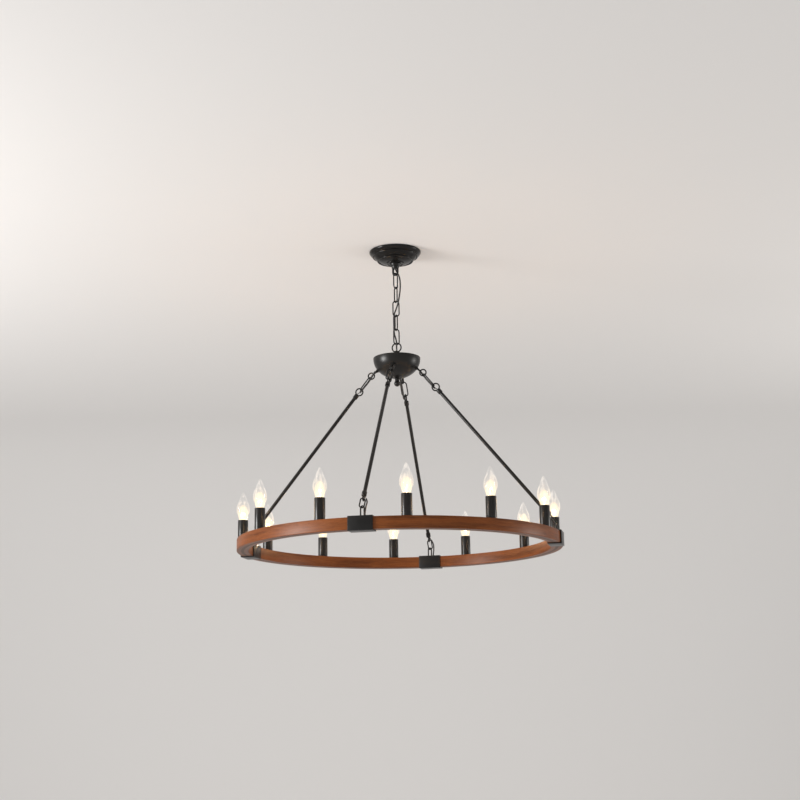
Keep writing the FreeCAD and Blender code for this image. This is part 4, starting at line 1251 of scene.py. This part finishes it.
@dataclass
class Rods:
    """The four rods with their upper links, end eyes and wires."""

    rod_radius: float = 5.0
    rod_bore: float = 3.5
    upper_radius: float = 10.5
    lower_radius: float = 8.0
    eye_wire: float = 2.0
    cap_radius: float = 6.8
    cap_length: float = 14.0
    seat: float = 7.0
    sink: float = 1.0
    link_gap: float = 0.4
    clamp_link_span: float = 33.4
    wire_radius: float = 1.1
    wire_offset: float = 3.3
    upper_cover: tuple[float, float, float] = (-18.5, 58.5, 2.7)
    lower_cover: tuple[float, float, float] = (1.5, 52.0, 2.0)
    bend: tuple[float, float] = (-4.0, 30.0)
    wire_sides: tuple[int, ...] = (1, -1, 1, 1)

    @property
    def link_start(self) -> float:
        """From the bolt's eye to the upper link's first wire."""
        return Bowl.eye_radius - Bowl.eye_wire - LEVELS.link_wire - LEVELS.link_gap

    @property
    def upper_eye(self) -> Vector:
        """The centre of the rod's upper eye.

        Returns:
            The point.
        """
        span = LEVELS.link_length - 2 * LEVELS.link_wire
        reach = self.link_start + span + self.upper_radius - self.eye_wire - LEVELS.link_wire \
            - LEVELS.link_gap
        return LEVELS.along(LEVELS.bolt_eye, reach)

    @property
    def lower_eye(self) -> Vector:
        """The centre of the rod's lower eye.

        Returns:
            The point.
        """
        end = Wheel.staple_wire + LEVELS.link_wire + self.link_gap
        back = self.lower_radius - self.eye_wire - LEVELS.link_wire - self.link_gap
        return LEVELS.along(LEVELS.hook, end - self.clamp_link_span - back)

    def end_eye(self, centre: Vector, radius: float, way: Vector) -> Mesh:
        """An eye with the cap that takes the rod.

        Args:
            centre: the eye's centre.
            radius: of the eye's centre line.
            way: the way from the eye to the rod.

        Returns:
            The mesh of both.
        """
        eye = ring(radius, self.eye_wire, Matrix.Translation(centre), 44)
        base = centre + way * (radius - self.sink)
        cap = lathe(((0.0, 0.0), (self.cap_radius - 1.6, 0.0), (self.cap_radius, 1.8),
                     (self.cap_radius, self.cap_length), (5.05, self.cap_length), (5.05, 3.5),
                     (0.0, 3.5)), closed=False, rounding=0.45, segments=40,
                    place=standing(base, way, Y_AXIS))
        return joined((eye, cap))

    def caps(self, inset: float = 0.0) -> tuple[Vector, Vector]:
        """Where the upper and the lower cap begin, or points further inside them.

        Args:
            inset: how far inside them.

        Returns:
            The upper and the lower point.
        """
        upper = LEVELS.along(self.upper_eye, self.upper_radius - self.sink + inset)
        lower = LEVELS.along(self.lower_eye, -(self.lower_radius - self.sink + inset))
        return upper, lower

    def tube(self) -> Mesh:
        """The hollow rod.

        Returns:
            The rod's mesh.
        """
        start, end = self.caps(self.seat)
        length = (end - start).length
        return lathe(((self.rod_bore, 0.0), (self.rod_radius, 0.0), (self.rod_radius, length),
                      (self.rod_bore, length)), rounding=0.3, segments=36,
                     place=standing(start, LEVELS.hang, Y_AXIS))

    def upper_link(self) -> Mesh:
        """The link between the bolt's eye and the rod's.

        Returns:
            The link's mesh.
        """
        half = LEVELS.link_length / 2 - LEVELS.link_wire
        centre = LEVELS.along(LEVELS.bolt_eye, self.link_start + half)
        return oval_link(LEVELS.link_length, LEVELS.link_width, LEVELS.link_wire,
                         standing(centre, LEVELS.hang, Y_AXIS))

    def upper_route(self) -> list[Vector]:
        """The wire from the stem, out of the bowl and along the upper link.

        Returns:
            The route's control points.
        """
        lv = LEVELS
        at = lv.along
        upper, _ = self.caps()
        eye = lv.bolt_eye
        return [Vector((1.75, 0, -338.7)), Vector((2, 0, -346)), Vector((7.5, 0.1, -351)),
                Vector((14, 1, -352.3)), Vector((24, 3, -351.8)), Vector((36.5, 5.4, -350.2)),
                Vector((50, 6.5, lv.bowl_rim - 27.3)), Vector((61, 7, lv.bowl_rim - 33.3)),
                at(eye, -6, 6.2, 3.2), at(eye, 8, 4.8, 4.8), at(eye, 24, 4.4, 5.2),
                at(eye, 41, 4.8, 4.4), at(self.upper_eye, -1, 4.8, 4.6), at(upper, -4.5, 3.9, 0.7),
                at(upper, 2.4, self.wire_offset, 0), at(upper, 9, 1.5, 0), at(upper, 22, 1.2, 0.2)]

    def inner_route(self, side: int) -> list[Vector]:
        """The wire inside the rod.

        Args:
            side: 1 or -1, the side of the rod that the wire lies on.

        Returns:
            The route's control points.
        """
        at = LEVELS.along
        upper, lower = self.caps()
        return [at(upper, 22, 1.2, 0.2), at(upper, 120, 0.6 * (1 + side), 0.2),
                at(lower, -60, 1.2 * side, 0.2), at(lower, -22, 1.2 * side, 0.2)]

    def lower_route(self, side: int) -> list[Vector]:
        """The wire from the rod, past the clamp's link and into the clamp.

        Args:
            side: 1 or -1, the side of the rod that the wire lies on.

        Returns:
            The route's control points.
        """
        lv = LEVELS
        at = lv.along
        _, lower = self.caps()
        eye = self.lower_eye
        middle = lv.rim_middle
        return [at(lower, -22, 1.2 * side, 0.2), at(lower, -9, 1.5 * side, 0),
                at(lower, -2.4, self.wire_offset * side, 0), at(lower, 1.3, 3.5 * side, 0.1),
                at(eye, -1.5, 5.4 * side, 2.2), at(eye, 7, 9.6 * side, 3.4),
                at(eye, 17, 11.8 * side, 2.4), at(eye, 26, 11.6 * side, 0.6),
                Vector((middle + 1, 10.2 * side, lv.clamp_top + 17)),
                Vector((middle, 8.6 * side, lv.clamp_top + 7)),
                Vector((middle, 8.5 * side, lv.clamp_top - lv.clamp_wall - 4)),
                Vector((middle - 0.3, 8.3 * side, lv.rim_bottom + 9))]

    def sleeving(self, points: Sequence[Vector], origin: Vector, start: float, end: float,
                 radius: float) -> Mesh:
        """A tube over the points between two distances along the rod's line from an origin."""
        covered = [point for point in points if start < (point - origin).dot(LEVELS.hang) < end]
        return hose(covered, radius, 14)

    def wires(self, tag: int, turn: Matrix, side: int) -> None:
        """Make and fit one rod's wire: above, inside and below.

        Args:
            tag: the rod's number, from 1.
            turn: the rod's turn about the vertical.
            side: 1 or -1, the side of the rod that the wire lies on.
        """
        body = "rod_%d" % tag
        for part, route, cover in (
                ("upper", self.upper_route(), (LEVELS.bolt_eye, *self.upper_cover)),
                ("inner", self.inner_route(side), ()),
                ("lower", self.lower_route(side), (self.lower_eye, *self.lower_cover))):
            points = along_curve(route)
            bm = hose(points, self.wire_radius, 10)
            if cover:
                bm = joined((bm, self.sleeving(points, *cover)))
            bm.transform(turn)
            name = "rod_wire_%s_%d" % (part, tag)
            if part == "upper":
                ends = tuple(turn @ LEVELS.along(LEVELS.bolt_eye, reach) for reach in self.bend)
                add_bending(name, bm, Finish.INSULATION, ("bowl", body), ends, "wire_black",
                            "rod_wires")
            else:
                add(name, bm, Finish.INSULATION, body if part == "inner" else "wheel",
                    "wire_black", "rod_wires")

    def build(self) -> None:
        """Make and fit the pieces."""
        for number, side in enumerate(self.wire_sides):
            turn = turned(360.0 / ROD_COUNT * number)
            tag = number + 1
            eyes = joined((self.end_eye(self.upper_eye, self.upper_radius, LEVELS.hang),
                           self.end_eye(self.lower_eye, self.lower_radius, -LEVELS.hang)))
            for name, bm, node in (("rod_tube_%d", self.tube(), "hanging_rod_%d"),
                                   ("rod_eyes_%d", eyes, "rod_end_eyes_%d"),
                                   ("upper_oval_%d", self.upper_link(), "upper_link_%d")):
                bm.transform(turn)
                add(name % tag, bm, Finish.IRON, "rod_%d" % tag, "black_metal", node % tag)
            self.wires(tag, turn, side)


@dataclass
class Wheel:
    """The timber rim with its clamps, staples, links and screws."""

    joint_gap: float = 24.0
    edge: float = 1.5
    groove: tuple[float, float] = (9.0, 7.0)
    clamp_length: float = 66.0
    clamp_edge: float = 0.6
    link_length: float = 37.0
    link_width: float = 16.2
    staple_radius: float = 7.0
    staple_wire: float = 2.0
    staple_turn: float = -35.0
    staple_lean: float = 25.0
    link_turn: float = -28.0
    screw_offset: float = 19.0
    shank_form: Profile = ((0.0, -16.5), (1.5, -14.0), (1.5, 0.0), (3.6, 0.0), (3.6, 0.9))

    def segment(self, number: int) -> Mesh:
        """A quarter of the rim with rounded edges and a wiring groove below.

        Args:
            number: the quarter's number, from 0.

        Returns:
            The quarter's mesh.
        """
        lv = LEVELS
        middle, low, high = lv.rim_middle, lv.rim_bottom, lv.rim_top
        half = lv.rim_width / 2
        side = self.groove[0] / 2
        roof = low + self.groove[1]
        section = ((middle - half, low), (middle - side, low), (middle - side, roof),
                   (middle + side, roof), (middle + side, low), (middle + half, low),
                   (middle + half, high), (middle - half, high))
        bm = bmesh.new()
        verts = [bm.verts.new((r, 0, z)) for r, z in section]
        bm.faces.new(verts)
        corners = [verts[0], verts[5], verts[6], verts[7]]
        soften(bm, corners, self.edge, "VERTICES", 4, clamp=False)
        gap = math.degrees(self.joint_gap / 2 / lv.rim_middle)
        span = 360.0 / ROD_COUNT
        bm.transform(turned(span * number + gap))
        bmesh.ops.spin(bm, geom=bm.faces[:], cent=(0, 0, 0), axis=(0, 0, 1),
                       angle=math.radians(span - 2 * gap), steps=48)
        return tidy(bm)

    def clamp(self) -> Mesh:
        """A folded box sleeve with soft edges.

        Returns:
            One clamp's mesh.
        """
        lv = LEVELS
        half = self.clamp_length / 2
        inner = math.sqrt((lv.rim_middle - lv.rim_width / 2) ** 2 - half ** 2) - lv.clamp_fit
        outer = lv.rim_middle + lv.rim_width / 2 + lv.clamp_fit
        low = lv.rim_bottom - lv.clamp_fit
        high = lv.rim_top + lv.clamp_fit
        bm = bmesh.new()
        for spread in (0.0, lv.clamp_wall):
            corners = [bm.verts.new((x, -half, z)) for x, z in (
                (inner - spread, low - spread), (outer + spread, low - spread),
                (outer + spread, high + spread), (inner - spread, high + spread))]
            for pair in zip(corners, corners[1:] + corners[:1]):
                bm.edges.new(pair)
        end = bmesh.ops.bridge_loops(bm, edges=bm.edges[:])["faces"]
        made = bmesh.ops.extrude_face_region(bm, geom=end, use_keep_orig=True)["geom"]
        bmesh.ops.translate(bm, vec=(0, self.clamp_length, 0), verts=points_in(made))
        bmesh.ops.recalc_face_normals(bm, faces=bm.faces[:])
        sharp = [e for e in bm.edges if len(e.link_faces) == 2 and e.calc_face_angle(0.0) > 1.0]
        soften(bm, sharp, self.clamp_edge, "EDGES", 2)
        return tidy(bm)

    def staple_place(self) -> Matrix:
        """Where the staple's bend is centred.

        Returns:
            The placement.
        """
        across = turned(90 + self.staple_turn) @ X_AXIS
        lean = math.radians(self.staple_lean)
        centre = LEVELS.hook + across * self.staple_radius * math.sin(lean) \
            - Z_AXIS * self.staple_radius * math.cos(lean)
        return Matrix.Translation(centre) @ turned(90 + self.staple_turn)

    def staples(self) -> Mesh:
        """The staples, riveted under the clamps' top plates.

        Returns:
            The mesh of all four.
        """
        place = self.staple_place()
        under = LEVELS.rim_top + LEVELS.clamp_fit
        legs = place.translation.z - under + 1.5
        parts = [staple(self.staple_radius, legs, self.staple_wire, place)]
        for side in (-1, 1):
            rivet = lathe(((0, 0), (3.0, 0), (3.2, 0.4), (3.2, 1.5), (0, 1.5)), closed=False,
                          segments=24, place=moved(z=under - 1.5 - place.translation.z))
            rivet.transform(place @ moved(self.staple_radius * side))
            parts.append(rivet)
        return repeated(joined(parts), ROD_COUNT)

    def links(self) -> Mesh:
        """The small links between the staples and the rods.

        Returns:
            The mesh of all four.
        """
        centre = LEVELS.along(LEVELS.hook, self.staple_wire + LEVELS.link_wire + Rods.link_gap
                              - Rods.clamp_link_span / 2)
        place = standing(centre, LEVELS.hang, Y_AXIS) @ turned(self.link_turn)
        link = oval_link(self.link_length, self.link_width, LEVELS.link_wire, place)
        return repeated(link, ROD_COUNT)

    def screws(self) -> Mesh:
        """Pan-head screws with a cross recess.

        Returns:
            The mesh of all eight.
        """
        top = LEVELS.clamp_top
        pair = []
        for side in (-1, 1):
            profile = outline(*raised(self.shank_form, top), (2.9, top + 1.8, 4.2),
                              (0.9, top + 2.2), (0.0, top + 1.2), steps=6)
            pair.append(lathe(profile, closed=False, segments=28,
                              place=moved(LEVELS.rim_middle, self.screw_offset * side)))
        return repeated(joined(pair), ROD_COUNT)

    def build(self) -> None:
        """Make and fit the pieces."""
        for number in range(ROD_COUNT):
            tag = number + 1
            add("rim_quarter_%d" % tag, self.segment(number), Finish.WOOD, "wheel", "walnut",
                "rim_segment_%d" % tag)
        for name, bm, node in (("clamp_sleeves", repeated(self.clamp(), ROD_COUNT), "rim_clamps"),
                               ("clamp_staples", self.staples(), "clamp_loops"),
                               ("clamp_ovals", self.links(), "clamp_links"),
                               ("clamp_pan_screws", self.screws(), "clamp_screws")):
            add(name, bm, Finish.IRON, "wheel", "black_metal", node)
        dress_nodes(Finish.GROOVE_COVER, "groove_covers")
        dress_nodes(Finish.INSULATION, "rim_harness")
        dress_nodes(Finish.ZINC, "socket_nipples")
        dress_nodes(Finish.SOCKET, "lamp_sockets")


@dataclass
class Candles:
    """The sleeves and the lit flame-tip bulbs."""

    sleeve_radius: float = 14.3
    sleeve_wall: float = 1.2
    sleeve_height: float = 58.0
    floor: float = 27.0
    base_radius: float = 5.95
    base_length: float = 20.0
    neck: float = 8.6
    radius: float = 17.6
    widest: float = 53.0
    top: float = 111.0
    glass_wall: float = 0.45
    stem_form: Profile = ((0.0, 0.2), (4.4, 0.2), (3.4, 6.0), (1.6, 12.0), (1.5, 17.0), (0.9, 18.0),
                          (0.0, 18.3))
    taper: tuple[tuple[float, float, float], ...] = (
        (11.3, 25.0, 90.0), (6.9, 11.5, 60.0), (1.6, 1.0, 40.0))
    filament_height: float = 47.0
    light_power: float = 1.0
    light_size: float = 0.006
    light_colour: Colour = (1.0, 0.60, 0.30)
    halo_layers: tuple[tuple[float, float], ...] = (
        (3.6, 8.5), (5.2, 12.0), (6.9, 15.5), (8.8, 19.0), (11.0, 22.5), (13.8, 26.5))

    def place(self, number: int) -> Matrix:
        """Where a candle stands."""
        turn = 360.0 / CANDLE_COUNT
        return turned(turn / 2 + turn * number) @ moved(LEVELS.rim_middle, 0, LEVELS.rim_top)

    def sleeves(self) -> Mesh:
        """The candle tubes.

        Returns:
            The mesh of all twelve.
        """
        inner = self.sleeve_radius - self.sleeve_wall
        tube = lathe(((inner, 0), (self.sleeve_radius, 0), (self.sleeve_radius, self.sleeve_height),
                      (inner, self.sleeve_height)), rounding=0.4, segments=56)
        tube.transform(moved(LEVELS.rim_middle, 0, LEVELS.rim_top))
        return repeated(tube, CANDLE_COUNT, 180.0 / CANDLE_COUNT)

    def glass(self) -> Mesh:
        """The blown envelope, drawn out to a flame tip.

        Returns:
            One bulb's glass.
        """
        base = self.base_length
        profile = outline((self.base_radius - 0.4, base - 4.0), (self.base_radius - 0.1, base),
                          (self.neck, base + 4.0, -60.0), (self.radius, self.widest, 48.0),
                          *((radius, self.top - below, arc) for radius, below, arc in self.taper),
                          (0.0, self.top))
        bm = lathe(profile, closed=False, segments=48)
        bmesh.ops.recalc_face_normals(bm, faces=bm.faces[:])
        bmesh.ops.solidify(bm, geom=bm.faces[:], thickness=self.glass_wall)
        return bm

    def screw_base(self) -> Mesh:
        """The threaded base with its contact.

        Returns:
            One bulb's base.
        """
        radius, top = self.base_radius, self.base_length
        points: list[tuple[float, float]] = [(0.0, 0.0), (2.0, 0.0), (2.3, 0.9), (4.6, 1.8)]
        height = 2.6
        while height < top - 3.0:
            points += [(radius, height + 0.7), (radius - 0.55, height + 1.7)]
            height += 2.0
        points += [(radius - 0.2, top - 1.0), (radius - 0.2, top), (0.0, top)]
        return lathe(points, closed=False, segments=36)

    def stem(self) -> Mesh:
        """The glass stem that carries the lead wires."""
        return lathe(raised(self.stem_form, self.base_length), closed=False, segments=24)

    def leads(self) -> Mesh:
        """The two lead wires up to the filament's ends.

        Returns:
            The mesh of both.
        """
        base, top = self.base_length, self.filament_height
        route = ((0.9, base + 16.0), (1.6, base + 21.0), (4.6, top - 3.0), (5.2, top + 0.6))
        return joined([hose(along_curve([(x * side, 0, z) for x, z in route], 6), 0.28, 8)
                       for side in (-1, 1)])

    def filament(self) -> Mesh:
        """The glowing coil, looped between the leads.

        Returns:
            The coil's mesh.
        """
        bend = ((-5.2, 0, 0), (-3.4, 1.4, 4.4), (0.0, 2.0, 5.6), (3.4, 1.4, 4.4), (5.2, 0, 0))
        route = [(x, y, self.filament_height + z) for x, y, z in bend]
        return hose(along_curve(route, 8), 0.62, 10)

    def halo(self) -> Mesh:
        """The pool of light round the filament, in layers from its core to the glass.

        Returns:
            The mesh of all the layers.
        """
        layers = []
        for wide, high in self.halo_layers:
            bm = bmesh.new()
            bmesh.ops.create_icosphere(bm, subdivisions=4, radius=1.0)
            bmesh.ops.scale(bm, vec=(wide, wide, high), verts=bm.verts[:])
            middle = self.filament_height - 3.0 + high / 6
            bmesh.ops.translate(bm, vec=(0, 0, middle), verts=bm.verts[:])
            layers.append(bm)
        return joined(layers)

    def bulb(self, number: int) -> None:
        """Make and fit one bulb.

        Args:
            number: the bulb's number, from 0.
        """
        place = self.place(number) @ moved(z=self.floor)
        tag = "%02d" % (number + 1)
        for name, bm, finish in (("bulb_glass_", self.glass(), Finish.GLASS),
                                 ("bulb_base_", self.screw_base(), Finish.NICKEL),
                                 ("bulb_stem_", self.stem(), Finish.CEMENT),
                                 ("bulb_leads_", self.leads(), Finish.LEAD_WIRE),
                                 ("bulb_filament_", self.filament(), Finish.FILAMENT),
                                 ("bulb_halo_", self.halo(), Finish.HALO)):
            bm.transform(place)
            add(name + tag, bm, finish, "bulb_%s_body" % tag, "clear_glass", "bulb_" + tag)
        lamp = bpy.data.lights.new("bulb_light_" + tag, "POINT")
        lamp.energy = self.light_power
        lamp.color = self.light_colour
        lamp.shadow_soft_size = self.light_size
        holder = put(lamp.name, lamp)
        holder.location = (place @ Vector((0, 0, self.filament_height + 3.0))) * METRES_PER_MM
        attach(holder, "bulb_%s_body" % tag)

    def build(self) -> None:
        """Make and fit the pieces."""
        add("candle_tubes", self.sleeves(), Finish.LACQUER, "wheel", "sleeve_black",
            "candle_sleeves")
        for number in range(CANDLE_COUNT):
            self.bulb(number)


# ------------------------------------------------------------------ room, light and camera

@dataclass
class Studio:
    """The pale room, its soft light and the camera."""

    azimuth: float = 12.5
    distance: float = 4.050
    height: float = -1.3905
    pitch: float = 0.2286
    yaw: float = 0.0018
    roll: float = -0.0166
    focal_pixels: float = 1441.8
    frame_pixels: float = 800.0
    sensor: float = 36.0
    world_light: float = 0.71
    ceiling: float = 0.0012
    front: float = -6.0
    wall: float = 4.6
    cove: float = 2.4
    floor: float = -7.0
    half_width: float = 9.0
    aim: Point = (0, 0, -0.6)
    windows: tuple[tuple[str, Point, float, float, Colour], ...] = (
        ("left_window", (-3.2, -1.2, -0.9), 1.1, 112.0, (1.0, 0.99, 0.98)),
        ("right_window", (3.4, 0.4, -1.0), 0.9, 28.0, (1.0, 0.98, 0.95)))

    def room(self) -> None:
        """A ceiling that runs down into the wall in one curve."""
        bm = bmesh.new()
        bend = (self.wall - self.cove, self.ceiling)
        points = [(self.front, self.ceiling), bend,
                  *arc_points(bend, (self.wall, -self.cove), -self.cove, 16),
                  (self.wall, self.floor)]
        verts = [bm.verts.new((-self.half_width, y, z)) for y, z in points]
        for pair in zip(verts, verts[1:]):
            bm.edges.new(pair)
        made = bmesh.ops.extrude_edge_only(bm, edges=bm.edges[:])["geom"]
        bmesh.ops.translate(bm, vec=(2 * self.half_width, 0, 0), verts=points_in(made))
        bm.transform(turned(self.azimuth))
        bm.normal_update()
        down = next(face for face in bm.faces if abs(face.normal.z) > 0.9)
        if down.normal.z > 0:
            bmesh.ops.reverse_faces(bm, faces=bm.faces[:])
        bm.transform(Matrix.Scale(1 / METRES_PER_MM, 4))
        make_piece("pale_room", bm, Finish.ROOM)

    def world(self) -> None:
        """Even light from all round, seen as the room's own colour."""
        g = Graph("soft_room", bpy.data.worlds, "OutputWorld")
        seen = g.node("Background", {"Color": PaleRoom.colour}).outputs[0]
        white = (1.0, 1.0, 1.0)
        lit = g.node("Background", {"Color": white, "Strength": self.world_light}).outputs[0]
        path = g.node("LightPath").outputs
        straight = g.sum_of("MAXIMUM", path["Is Camera Ray"], path["Is Glossy Ray"])
        straight = g.sum_of("MAXIMUM", straight, path["Is Transmission Ray"])
        mixed = g.node("MixShader", {0: straight, 1: lit, 2: seen}).outputs[0]
        bpy.context.scene.world = g.close(mixed)

    def soft_box(self, name: str, place: Vector, size: float, power: float, colour: Colour) -> None:
        """A square soft lamp that faces the lamp's middle.

        Args:
            name: the light's name.
            place: where it stands, in metres.
            size: its side's length in metres.
            power: in watts.
            colour: of its light.
        """
        lamp = bpy.data.lights.new(name, "AREA")
        lamp.shape = "SQUARE"
        lamp.size = size
        lamp.energy = power
        lamp.color = colour
        holder = put(name, lamp)
        holder.location = place
        holder.rotation_mode = "QUATERNION"
        holder.rotation_quaternion = (Vector(self.aim) - place).to_track_quat("-Z", "Y")

    def camera(self) -> None:
        """The main point of view, from below and in front."""
        view = turned(self.azimuth)
        ahead = view @ Vector((math.sin(self.yaw) * math.cos(self.pitch),
                               math.cos(self.yaw) * math.cos(self.pitch), math.sin(self.pitch)))
        right = view @ Vector((math.cos(self.yaw), -math.sin(self.yaw), 0.0))
        up = right.cross(ahead)
        cos, sin = math.cos(self.roll), math.sin(self.roll)
        right, up = right * cos + up * sin, up * cos - right * sin
        data = bpy.data.cameras.new("viewpoint")
        data.sensor_width = self.sensor
        data.lens = self.focal_pixels / self.frame_pixels * self.sensor
        data.clip_end = 100.0
        holder = put("viewpoint", data)
        place = Matrix((right, up, -ahead)).transposed().to_4x4()
        place.translation = view @ Vector((0.0, -self.distance, self.height))
        holder.matrix_world = place
        bpy.context.scene.camera = holder

    def build(self) -> None:
        """Make the room, the light and the camera."""
        self.camera()
        self.room()
        self.world()
        for name, place, size, power, colour in self.windows:
            self.soft_box(name, turned(self.azimuth) @ Vector(place), size, power, colour)
        bpy.context.scene.view_settings.view_transform = "Standard"
        bpy.context.scene.cycles.transparent_max_bounces = GLOW_CROSSINGS


def main() -> None:
    """Build the lamp's sub-assemblies in order and report each piece."""
    logging.basicConfig(level=logging.INFO, format="%(message)s")
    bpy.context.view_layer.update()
    sections: tuple[tuple[str, Callable[[], None]], ...] = (
        ("studio", Studio().build), ("canopy", Canopy().build), ("chain", Chain().build),
        ("bowl", Bowl().build), ("rods", Rods().build), ("wheel", Wheel().build),
        ("candles", Candles().build))
    for name, build in sections:
        LOG.info("-- %s", name)
        build()


if __name__ == "__main__":
    main()
